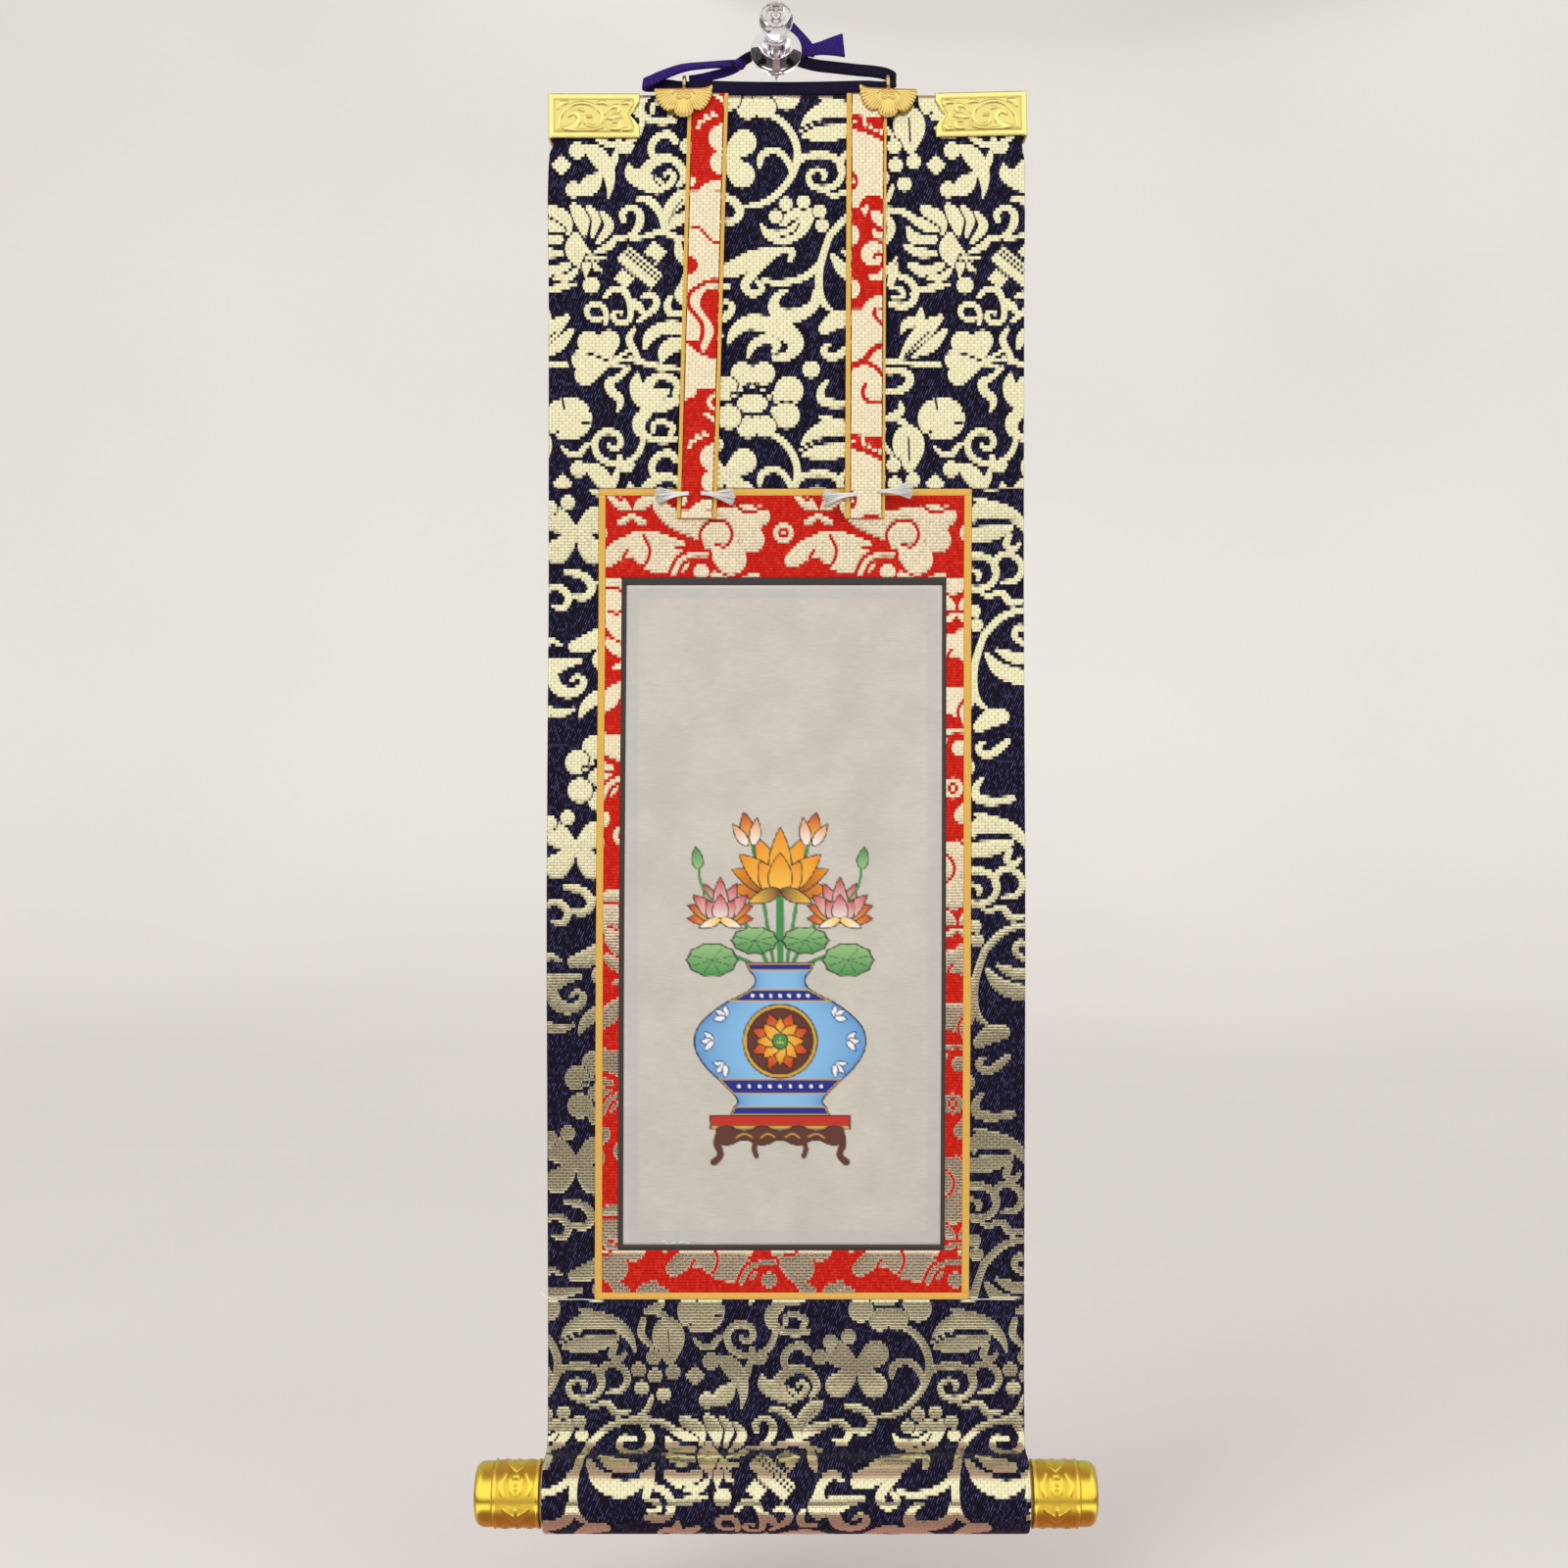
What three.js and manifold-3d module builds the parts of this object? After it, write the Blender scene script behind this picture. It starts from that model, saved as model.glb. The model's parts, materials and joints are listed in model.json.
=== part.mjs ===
// A small altar hanging scroll on its push pin.
// Millimetres, +Z up, +X to the right, the front faces -Y.  The wall plane is y = 0, and the
// origin is the point where the pin's needle enters it.
import * as THREE from 'three';
import { mergeVertices } from 'three/addons/utils/BufferGeometryUtils.js';
import Module from 'manifold-3d';

const wasm = await Module();
wasm.setup();

// ---- driving dimensions ----------------------------------------------------------------------
const CLOTH = 1.0;            // thickness of a mounted sheet, cloth and backing paper together
const GAP = 0.3;              // air between neighbouring pieces
const SCROLL_TOP = -7.1;      // outer top of the hem round the stave
const SEAM_TOP = -83.1;       // top cloth meets the inner frame and the pillars
const SEAM_BOTTOM = -240.9;   // inner frame and pillars meet the bottom cloth
const FLAT_END = -266.2;      // the bottom cloth starts to swing out over the roller
const AXIS_X = 1.9;           // middle of the scroll: it hangs a little right of the pin

const STAVE = { thick: 2.4, tall: 7.6, left: -42.8, right: 47.2, y: -3.2 };
const ROLLER = { y: -7.6, z: -277.0, radius: 6.1, tenonRadius: 5.4, tenon: 10.8 };
const CAP = { radius: 6.5, endRadius: 6.15, length: 12.5, band: 3.5, wall: 0.8, round: 1.8 };
const CLOTH_ENDS = { left: -44.5, right: 48.3 };        // side edges of the cloth at the roller
const CAP_GAP = 0.6;          // from the cloth's side edge to a cap
const ROLL_MID = ROLLER.radius + GAP + CLOTH / 2;       // middle of the cloth round the roller

const FUTAI = { width: 7.7, thick: 1.0, length: 81.6, top: -7.4 };
const PLATE = { length: 17.65, tall: 8.6, thick: 0.4, notch: 1.8, deep: 6.4 };
const FAN = { width: 10.8, tall: 5.6, thick: 0.5, back: -7.3, top: -6.65, tab: 3.0, tabThick: 0.2 };
const RING = { fromAxis: 19.75, wire: 0.38, radius: 1.45, z: -4.65, y: -3.2, shank: 6.5 };
const CORD = { width: 2.3, thick: 0.8, pinched: 1.5 };
const TUFT = { root: 1.1, brush: 3.2, thick: 0.9, length: 6.8 };
const PIN = { lift: 14, outside: 4.45, needle: 0.55, inside: 5.0, buried: 5.55, tip: 2.6, bore: 0.85 };

// ---- finishes --------------------------------------------------------------------------------
const finish = (color, roughness, metalness) =>
  new THREE.MeshStandardMaterial({ color, roughness, metalness });
const FINISH = {
  navyBrocade: () => finish(0x34334d, 0.7, 0.0),
  redBrocade: () => finish(0xd8473a, 0.65, 0.0),
  yellowEdging: () => finish(0xe0b45c, 0.6, 0.0),
  blackLine: () => finish(0x2a2725, 0.6, 0.0),
  paper: () => finish(0xcfc8bb, 0.85, 0.0),
  wood: () => finish(0xc9a77a, 0.7, 0.0),
  gilt: () => finish(0xe9c24a, 0.3, 1.0),
  brass: () => finish(0xd8c37a, 0.3, 1.0),
  braid: () => finish(0x2a1263, 0.75, 0.0),
  silk: () => finish(0xe9e4e2, 0.6, 0.0),
  acrylic: () => finish(0xe8e6ea, 0.1, 0.0),
  steel: () => finish(0xb8b8bc, 0.25, 1.0),
};

const scroll = new THREE.Group();

/** Puts one named piece into the scroll, or into a placed group inside it. */
function add(name, geometry, material, parent = scroll) {
  const mesh = new THREE.Mesh(geometry, material);
  mesh.name = name;
  parent.add(mesh);
  return mesh;
}

/** Keeps only positions, shares the vertices that coincide, and works out normals. */
function clean(geometry) {
  geometry.deleteAttribute('uv');
  geometry.deleteAttribute('normal');
  const merged = mergeVertices(geometry, 1e-5);
  merged.computeVertexNormals();
  return merged;
}

/** three.js geometry to a manifold solid, and back again. */
function toSolid(geometry) {
  const shared = clean(geometry);
  const vertProperties = new Float32Array(shared.attributes.position.array);
  const triVerts = new Uint32Array(shared.index.array);
  return new wasm.Manifold(new wasm.Mesh({ numProp: 3, vertProperties, triVerts }));
}
function toGeometry(solid) {
  const { vertProperties, triVerts } = solid.getMesh();
  const geometry = new THREE.BufferGeometry();
  geometry.setAttribute('position', new THREE.BufferAttribute(new Float32Array(vertProperties), 3));
  geometry.setIndex(new THREE.BufferAttribute(new Uint32Array(triVerts), 1));
  geometry.computeVertexNormals();
  return geometry;
}

// ---- sheets ----------------------------------------------------------------------------------
/** Reads a short table of [z, value] rows, straight between the rows and level past its ends. */
function table(rows) {
  return (z) => {
    const last = rows.length - 1;
    if (z >= rows[0][0]) return rows[0][1];
    if (z <= rows[last][0]) return rows[last][1];
    const k = rows.findIndex((row) => row[0] <= z);
    const [[z0, a], [z1, b]] = [rows[k - 1], rows[k]];
    return a + ((b - a) * (z0 - z)) / (z0 - z1);
  };
}

/** A box laid along a path of the YZ plane, from one side line to the other, as thick as a sheet. */
function sheet(path, left, right, thickness = CLOTH) {
  const steps = path.length - 1;
  const geometry = new THREE.BoxGeometry(1, 1, 1, 1, 1, steps);
  const position = geometry.attributes.position;
  const step = new THREE.Vector2();
  for (let i = 0; i < position.count; i += 1) {
    const at = Math.round((position.getZ(i) + 0.5) * steps);
    step.subVectors(path[Math.min(at + 1, steps)], path[Math.max(at - 1, 0)]).normalize();
    const out = position.getY(i) * thickness;
    const { x: y, y: z } = path[at];
    const across = position.getX(i) + 0.5;
    position.setXYZ(i, left(z) + (right(z) - left(z)) * across, y + out * step.y, z - out * step.x);
  }
  return clean(geometry);
}

/** Points straight down a depth profile between two heights, one at each row and at both ends. */
function hang(profile, rows, from, to) {
  const heights = [from, ...rows.map((row) => row[0]).filter((z) => z < from - 1 && z > to + 1), to];
  return heights.map((z) => new THREE.Vector2(profile(z), z));
}

// How far the middle of the cloth stands off the wall: it bows as it hangs.
const BOW = [
  // z,      y
  [-16.0, -5.2],
  [-45.0, -4.0],
  [-102.0, -1.7],
  [-135.0, -2.6],
  [-168.0, -3.3],
  [-205.0, -2.5],
  [-236.0, -1.5],
  [-255.0, -1.3],
  [-262.0, -1.8],
  [FLAT_END, -2.1],
];
const bow = table(BOW);

// The cloth's side edges are not quite straight, and the hem is drawn in under the corner plates.
const sideLeft = table([[-17, -43.1], [-19.5, -44.0], [-160, -44.6], [FLAT_END, CLOTH_ENDS.left]]);
const sideRight = table([[-17, 47.5], [-19.5, 48.0], [-160, 48.35], [FLAT_END, CLOTH_ENDS.right]]);

/** A line of the inner frame, which leans a little: x at the upper seam and at the lower one. */
const lean = (top, bottom) => table([[SEAM_TOP, top], [SEAM_BOTTOM, bottom]]);
const FRAME = {
  left: lean(-34.5, -35.4),
  redLeft: lean(-33.2, -34.0),
  lineLeft: lean(-30.0, -30.9),
  paperLeft: lean(-29.0, -29.9),
  paperRight: lean(32.35, 31.9),
  lineRight: lean(33.15, 32.7),
  redRight: lean(36.6, 36.1),
  right: lean(38.05, 37.55),
};
const LEVEL = {
  red: -84.4, line: -100.3, paper: -101.8, paperEnd: -230.2, lineEnd: -231.3, redEnd: -239.6,
};
const half = GAP / 2;
const inset = (line, by) => (z) => line(z) + by;

/** A flat panel of the frame between four of its lines, drawn in by half a gap on every side. */
function panel(name, material, left, right, top, bottom) {
  const path = hang(bow, BOW, top - half, bottom + half);
  add(name, sheet(path, inset(left, half), inset(right, -half)), material);
}

function buildInnerFrame() {
  const { left, redLeft, lineLeft, paperLeft, paperRight, lineRight, redRight, right } = FRAME;
  const frames = [
    // name,     finish,             outer left, inner left, inner right, outer right, heights
    ['edging', FINISH.yellowEdging, left, redLeft, redRight, right,
      SEAM_TOP, LEVEL.red, LEVEL.redEnd, SEAM_BOTTOM],
    ['inner', FINISH.redBrocade, redLeft, lineLeft, lineRight, redRight,
      LEVEL.red, LEVEL.line, LEVEL.lineEnd, LEVEL.redEnd],
    ['line', FINISH.blackLine, lineLeft, paperLeft, paperRight, lineRight,
      LEVEL.line, LEVEL.paper, LEVEL.paperEnd, LEVEL.lineEnd],
  ];
  for (const [name, material, a, b, c, d, top, under, over, bottom] of frames) {
    panel(`${name}_top`, material(), a, d, top, under);
    panel(`${name}_bottom`, material(), a, d, over, bottom);
    panel(`${name}_left`, material(), a, b, under, over);
    panel(`${name}_right`, material(), c, d, under, over);
  }
  panel('picture_paper', FINISH.paper(), paperLeft, paperRight, LEVEL.paper, LEVEL.paperEnd);
}

// The ring's shank goes down through the washer's tab and the hem, into the stave.
const ringX = (side) => AXIS_X + side * RING.fromAxis;

/** A round hole for a ring's shank, as a solid to cut with. */
function shankHole(side) {
  const hole = new THREE.CylinderGeometry(RING.wire + GAP, RING.wire + GAP, 20, 16);
  hole.rotateX(Math.PI / 2);
  hole.translate(ringX(side), RING.y, SCROLL_TOP + 10 - RING.shank);
  return toSolid(hole);
}
function cutShankHoles(geometry) {
  return toGeometry(toSolid(geometry).subtract(shankHole(-1)).subtract(shankHole(1)));
}

function buildStave() {
  const { thick, tall, left, right, y } = STAVE;
  const stave = new THREE.BoxGeometry(right - left, thick, tall);
  const top = SCROLL_TOP - CLOTH - GAP;
  stave.translate((left + right) / 2, y, top - tall / 2);
  add('stave', cutShankHoles(stave), FINISH.wood());
}

/** The top cloth: its hem goes up behind the stave, over it and down the front to the seam. */
function buildTopCloth() {
  const reach = STAVE.thick / 2 + GAP + CLOTH / 2;      // stave's middle to the cloth's middle
  const back = STAVE.y + reach;
  const front = STAVE.y - reach;
  const bend = 0.9;
  const crown = SCROLL_TOP - CLOTH / 2;
  const foot = crown - STAVE.tall - 2 * GAP - CLOTH;
  const tuck = bow(foot - 2) + CLOTH + GAP;             // the hem's end lies behind the front
  const path = new THREE.Path();
  path.moveTo(tuck, foot - 4.1);
  path.lineTo(tuck, foot - 2.3);
  path.lineTo(back, foot + 0.3);
  path.lineTo(back, crown - bend);
  path.absarc(back - bend, crown - bend, bend, 0, Math.PI / 2, false);
  path.absarc(front + bend, crown - bend, bend, Math.PI / 2, Math.PI, false);
  path.lineTo(front, foot);
  const points = dropRepeats(path.getPoints(5));
  points.push(...hang(bow, BOW, foot - 4, SEAM_TOP + half));
  add('top_cloth', cutShankHoles(sheet(points, sideLeft, sideRight)), FINISH.navyBrocade());
}

/** Drops a point that repeats the one before it, where a line runs into an arc. */
function dropRepeats(points) {
  return points.filter((point, i) => i === 0 || point.distanceTo(points[i - 1]) > 1e-3);
}

function buildPillars() {
  const path = hang(bow, BOW, SEAM_TOP - half, SEAM_BOTTOM + half);
  const pillars = [
    ['pillar_left', sideLeft, inset(FRAME.left, -half)],
    ['pillar_right', inset(FRAME.right, half), sideRight],
  ];
  for (const [name, left, right] of pillars) {
    add(name, sheet(path, left, right), FINISH.navyBrocade());
  }
}

/** The bottom cloth swings out in a hollow arc, lies on the roller, and goes round it. */
function buildBottomCloth() {
  const swing = { radius: 4.0, y: bow(FLAT_END) - 4.0, z: FLAT_END };
  const touch = Math.atan2(ROLLER.y - swing.y, swing.z - ROLLER.z);   // tilt of the common normal
  const lap = THREE.MathUtils.degToRad(285);                          // round from the roller's top
  const path = new THREE.Path();
  const [first, ...rest] = hang(bow, BOW, SEAM_BOTTOM - half, FLAT_END);
  path.moveTo(first.x, first.y);
  rest.forEach((point) => path.lineTo(point.x, point.y));
  path.absarc(swing.y, swing.z, swing.radius, 0, -Math.PI / 2 + touch, true);
  path.absarc(ROLLER.y, ROLLER.z, ROLL_MID, Math.PI / 2 + touch, Math.PI / 2 + lap, false);
  const points = dropRepeats(path.getPoints(30));
  add('bottom_cloth', sheet(points, sideLeft, sideRight), FINISH.navyBrocade());
}

// ---- the two hanging strips ------------------------------------------------------------------
// Rows: name, x of the middle at the top and at the bottom, widths of the left and right edge bands.
const STRIPS = [
  ['futai_left', -13.1, -15.45, 0.9, 0.85],
  ['futai_right', 17.45, 17.2, 1.1, 0.65],
];
const STRIP_BOW = [[FUTAI.top, -6.5], [-20, -6.5], [-45, -5.5], [FUTAI.top - FUTAI.length, -4.0]];
const stripBow = table(STRIP_BOW);

function buildStrips() {
  const bottom = FUTAI.top - FUTAI.length;
  const path = hang(stripBow, STRIP_BOW, FUTAI.top, bottom);
  for (const [name, atTop, atBottom, bandLeft, bandRight] of STRIPS) {
    const middle = table([[FUTAI.top, atTop], [bottom, atBottom]]);
    const line = (across) => inset(middle, across);
    const edge = FUTAI.width / 2;
    const cuts = [
      [`${name}_edge_left`, -edge, bandLeft - edge - half, FINISH.yellowEdging],
      [name, bandLeft - edge + half, edge - bandRight - half, FINISH.redBrocade],
      [`${name}_edge_right`, edge - bandRight + half, edge, FINISH.yellowEdging],
    ];
    for (const [piece, from, to, material] of cuts) {
      add(piece, sheet(path, line(from), line(to), FUTAI.thick), material());
    }
  }
}

/** A silk tuft lies across a strip's edge: a narrow neck that opens into a brush. */
function tuftOutline() {
  const { root, brush, length } = TUFT;
  const neck = length * 0.38;
  const outline = new THREE.Shape();
  outline.absarc(root / 2, 0, root / 2, Math.PI / 2, Math.PI * 1.5, false);
  outline.lineTo(neck, -root * 0.42);
  outline.lineTo(length - 0.5, -brush / 2);
  outline.quadraticCurveTo(length + 0.2, 0, length - 0.4, brush / 2);
  outline.lineTo(neck, root * 0.42);
  return outline;
}

function buildTufts() {
  // Rows: name, root x, height, direction (0 = right, 180 = left).
  const tufts = [
    ['tuft_left_outer', -17.1, -84.1, 184],
    ['tuft_left_inner', -14.4, -83.9, -7],
    ['tuft_right_inner', 15.3, -84.1, 187],
    ['tuft_right_outer', 20.0, -84.0, 2],
  ];
  const settings = { depth: TUFT.thick, bevelEnabled: false, curveSegments: 5 };
  const front = stripBow(-84) - FUTAI.thick / 2 - GAP;
  for (const [name, x, z, direction] of tufts) {
    const mesh = add(name, clean(new THREE.ExtrudeGeometry(tuftOutline(), settings)), FINISH.silk());
    mesh.rotation.set(Math.PI / 2, 0, 0);
    const turned = new THREE.Group();
    turned.position.set(x, front, z);
    turned.rotation.y = -THREE.MathUtils.degToRad(direction);
    turned.add(mesh);
    scroll.add(turned);
  }
}

// ---- metal fittings --------------------------------------------------------------------------
/** Outline of a corner plate, seen from the front: square outer end, notched inner end. */
function plateOutline() {
  const { length, tall, notch } = PLATE;
  const outline = new THREE.Shape();
  const top = tall / 2;
  outline.moveTo(0, -top);
  outline.lineTo(length, -top);
  outline.lineTo(length, -tall * 0.25);
  outline.quadraticCurveTo(length - notch * 0.35, -tall * 0.16, length - notch, 0.1);
  outline.quadraticCurveTo(length - notch * 0.55, tall * 0.14, length, tall * 0.31);
  outline.lineTo(length, top);
  outline.lineTo(0, top);
  return outline;
}

/** A corner plate is one strip of metal folded round the end of the scroll, front and back alike. */
function cornerPlate() {
  const { length, tall, thick, deep } = PLATE;
  const settings = { depth: deep, bevelEnabled: false, curveSegments: 5 };
  const solid = new THREE.ExtrudeGeometry(plateOutline(), settings);
  const inside = new THREE.BoxGeometry(length, tall * 2, deep - 2 * thick);
  inside.translate(length / 2 + thick, 0, deep / 2);
  const folded = toGeometry(toSolid(solid).subtract(toSolid(inside)));
  folded.rotateX(Math.PI / 2);                                        // outline's height is now +Z
  return folded;
}

function buildCornerPlates() {
  // Rows: name, x of the outer end, height of the middle, tilt in degrees, direction.
  const plates = [
    ['corner_plate_left', -44.0, -11.55, 0, 1],
    ['corner_plate_right', 48.4, -11.0, 1.4, -1],
  ];
  for (const [name, x, z, tilt, direction] of plates) {
    const geometry = cornerPlate();
    if (direction < 0) {
      geometry.scale(-1, 1, 1);
      const index = geometry.index.array;
      for (let i = 0; i < index.length; i += 3) [index[i], index[i + 1]] = [index[i + 1], index[i]];
      geometry.computeVertexNormals();
    }
    const mesh = add(name, geometry, FINISH.gilt());
    mesh.position.set(x, 0, z);
    mesh.rotation.y = -THREE.MathUtils.degToRad(tilt);
  }
}

/** Half a flower seen from the front: a flat top and three scalloped lobes below it. */
function fanOutline() {
  const { width, tall } = FAN;
  const side = width / 2;
  const outline = new THREE.Shape();
  outline.moveTo(-side + 0.4, 0);
  outline.quadraticCurveTo(-side - 0.35, -tall * 0.38, -side + 2.0, -tall * 0.66);
  outline.quadraticCurveTo(-2.4, -tall * 0.70, -2.1, -tall * 0.80);
  outline.quadraticCurveTo(0, -tall * 1.2, 2.1, -tall * 0.80);
  outline.quadraticCurveTo(2.4, -tall * 0.70, side - 2.0, -tall * 0.66);
  outline.quadraticCurveTo(side + 0.35, -tall * 0.38, side - 0.4, 0);
  return outline;
}

/** A washer: the fan in front, with a tab bent back over the hem for the ring's shank. */
function buildWashers() {
  // Rows: name, side, tilt in degrees.
  for (const [name, side, tilt] of [['fan_washer_left', -1, 0.8], ['fan_washer_right', 1, -2.0]]) {
    const settings = { depth: FAN.thick, bevelEnabled: false, curveSegments: 6 };
    const fan = new THREE.ExtrudeGeometry(fanOutline(), settings);
    fan.rotateX(Math.PI / 2);
    fan.translate(0, FAN.back, 0);
    fan.rotateY(-THREE.MathUtils.degToRad(tilt));
    const reach = FAN.thick - FAN.back + RING.y + 1.4;
    const tab = new THREE.BoxGeometry(FAN.tab, reach, FAN.tabThick);
    tab.translate(0, FAN.back - FAN.thick + reach / 2, -FAN.tabThick / 2);
    const joined = toSolid(fan).add(toSolid(tab));
    const placed = toGeometry(joined).translate(ringX(side), 0, FAN.top);
    add(name, toGeometry(toSolid(placed).subtract(shankHole(side))), FINISH.gilt());
  }
}

/** A ring seen edge-on, in one piece with the shank that is driven into the stave. */
function buildRings() {
  for (const [name, side] of [['ring_left', -1], ['ring_right', 1]]) {
    const ring = new THREE.TorusGeometry(RING.radius, RING.wire, 8, 24);
    ring.rotateY(Math.PI / 2);
    ring.translate(0, RING.y, RING.z);
    const top = RING.z - RING.radius;
    const shank = new THREE.CylinderGeometry(RING.wire, RING.wire, RING.shank - 1, 12);
    shank.rotateX(Math.PI / 2);
    shank.translate(0, RING.y, top - (RING.shank - 1) / 2);
    const solid = toSolid(ring).add(toSolid(shank));
    add(name, toGeometry(solid).translate(ringX(side), 0, 0), FINISH.brass());
  }
}

// ---- roller ----------------------------------------------------------------------------------
/** Turns a profile of [radius, x] rows about the roller's axis. */
function turned(rows, sides = 40) {
  const profile = rows.map(([radius, along]) => new THREE.Vector2(radius, along));
  const geometry = new THREE.LatheGeometry(profile, sides);
  geometry.rotateZ(-Math.PI / 2);                                     // the lathe's +Y is now +X
  return clean(geometry);
}

function buildRoller() {
  const from = CLOTH_ENDS.left - CAP_GAP;
  const to = CLOTH_ENDS.right + CAP_GAP;
  const { radius, tenonRadius, tenon, y, z } = ROLLER;
  const dowel = turned([
    [0, from - tenon], [tenonRadius, from - tenon], [tenonRadius, from + GAP], [radius, from + GAP],
    [radius, to - GAP], [tenonRadius, to - GAP], [tenonRadius, to + tenon], [0, to + tenon],
  ]);
  add('roller', dowel, FINISH.wood()).position.set(0, y, z);

  // A cap is a cup: body, a slightly smaller end band, a rounded end.
  const inner = CAP.radius - CAP.wall;
  const round = [];
  for (let i = 0; i <= 4; i += 1) {
    const turn = (i / 4) * (Math.PI / 2);
    round.push([
      CAP.endRadius - CAP.round + CAP.round * Math.cos(turn),
      CAP.length - CAP.round + CAP.round * Math.sin(turn),
    ]);
  }
  const rows = [
    [0, tenon + GAP], [inner, tenon + GAP], [inner, 0], [CAP.radius, 0],
    [CAP.radius, CAP.length - CAP.band], [CAP.endRadius, CAP.length - CAP.band], ...round,
    [0, CAP.length],
  ];
  const cup = turned(rows);
  add('roller_cap_right', cup, FINISH.gilt()).position.set(to, y, z);
  const left = add('roller_cap_left', cup.clone(), FINISH.gilt());
  left.position.set(from, y, z);
  left.rotation.z = Math.PI;
}

// ---- cord ------------------------------------------------------------------------------------
/** A flat braid along a route: its broad side stands upright, turned by `roll` about the route. */
function braid(route, stepsPerStretch = 3, thick = CORD.thick) {
  const curve = new THREE.CatmullRomCurve3(route.map(([x, y, z]) => new THREE.Vector3(x, y, z)));
  const stretches = route.length - 1;
  const steps = stretches * stepsPerStretch;
  const geometry = new THREE.BoxGeometry(1, 1, 1, 1, 1, steps);
  const position = geometry.attributes.position;
  const up = new THREE.Vector3(0, 0, 1);
  for (let i = 0; i < position.count; i += 1) {
    const t = position.getZ(i) + 0.5;
    const at = curve.getPoint(t);
    const along = curve.getTangent(t);
    const k = Math.min(Math.floor(t * stretches), stretches - 1);
    const part = t * stretches - k;
    const roll = THREE.MathUtils.lerp(route[k][3], route[k + 1][3], part);
    const width = THREE.MathUtils.lerp(route[k][4], route[k + 1][4], part);
    const broad = up.clone().addScaledVector(along, -up.dot(along)).normalize();
    broad.applyAxisAngle(along, THREE.MathUtils.degToRad(roll));
    const face = along.clone().cross(broad);
    at.addScaledVector(broad, position.getX(i) * width);
    at.addScaledVector(face, position.getY(i) * thick);
    position.setXYZ(i, at.x, at.y, at.z);
  }
  return clean(geometry);
}

const W = CORD.width;
const P = CORD.pinched;
const ROUTES = {
  // Rows: x, y, z, roll in degrees, width.
  // From the knot over the needle, right and round behind the ring, back through both rings,
  // round the left fold and up again to the knot.
  cord_loop: [
    [-6.1, -2.35, 0.5, 25, 2.0], [-4.4, -2.3, 1.4, 55, 2.1], [-2.2, -2.25, 1.8, 72, 2.1],
    [0.0, -2.2, 1.83, 76, 2.1], [2.0, -2.15, 1.55, 64, 2.1], [4.4, -1.8, 0.5, 22, W],
    [7.5, -1.5, -0.3, 6, W], [11.5, -1.2, -0.7, 4, W], [15.8, -0.95, -1.1, 2, W],
    [19.0, -0.8, -1.35, 0, W], [21.4, -0.75, -1.8, 0, W], [22.6, -1.05, -2.55, 0, W],
    [22.95, -1.95, -3.5, 0, W], [22.75, -2.85, -4.3, 0, 1.8], [21.65, -3.2, -4.65, 0, P],
    [20.5, -3.2, -4.7, 0, P], [18.0, -3.2, -4.75, 0, W], [10.0, -3.2, -4.85, 0, W],
    [2.0, -3.2, -4.95, 0, W], [-8.0, -3.2, -4.9, 0, W], [-15.0, -3.2, -4.75, 0, W],
    [-16.8, -3.2, -4.7, 0, P], [-17.85, -3.2, -4.65, 0, P], [-18.9, -3.2, -4.7, 0, P],
    [-21.0, -3.2, -4.8, 0, W], [-24.0, -3.25, -4.9, 0, W], [-25.4, -3.7, -4.95, -4, W],
    [-25.5, -4.5, -4.85, -10, W], [-24.0, -4.95, -4.3, -20, W], [-21.9, -4.8, -3.25, -30, W],
    [-18.0, -4.4, -1.75, -42, W], [-13.5, -3.5, -0.95, -50, W], [-10.7, -2.9, -0.6, -45, W],
    [-8.7, -2.55, -0.45, -30, 2.0],
  ],
  cord_inner: [
    [-17.0, -1.95, -3.2, -20, P], [-15.5, -1.85, -3.05, -25, 1.8], [-14.0, -1.65, -2.75, -30, 2.0],
    [-12.5, -1.45, -2.35, -30, 2.1], [-11.0, -1.25, -1.9, -28, 2.1], [-9.6, -1.15, -1.45, -20, 2.0],
    [-8.6, -1.1, -1.15, -15, 1.9],
  ],
  cord_tail_up: [
    [5.7, -2.85, 2.1, 0, 2.2], [5.4, -2.75, 3.2, 0, W], [4.7, -2.55, 4.5, 0, W],
    [3.6, -2.4, 5.8, 0, W], [2.5, -2.25, 7.0, 0, W],
  ],
  cord_tail_side: [
    [7.2, -2.9, 2.2, 0, W], [8.6, -2.95, 2.5, 0, 2.6], [10.2, -3.0, 2.75, 0, 3.3],
    [11.7, -3.0, 2.95, 0, 4.0], [13.1, -2.9, 3.1, 0, 4.7],
  ],
};

function buildCord() {
  for (const [name, route] of Object.entries(ROUTES)) {
    add(name, braid(route), FINISH.braid());
  }
  const knot = clean(new THREE.SphereGeometry(1.05, 12, 8));
  knot.scale(1.05, 0.95, 1.0);
  add('cord_knot', knot, FINISH.braid()).position.set(-7.15, -2.4, -0.45);
}

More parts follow.
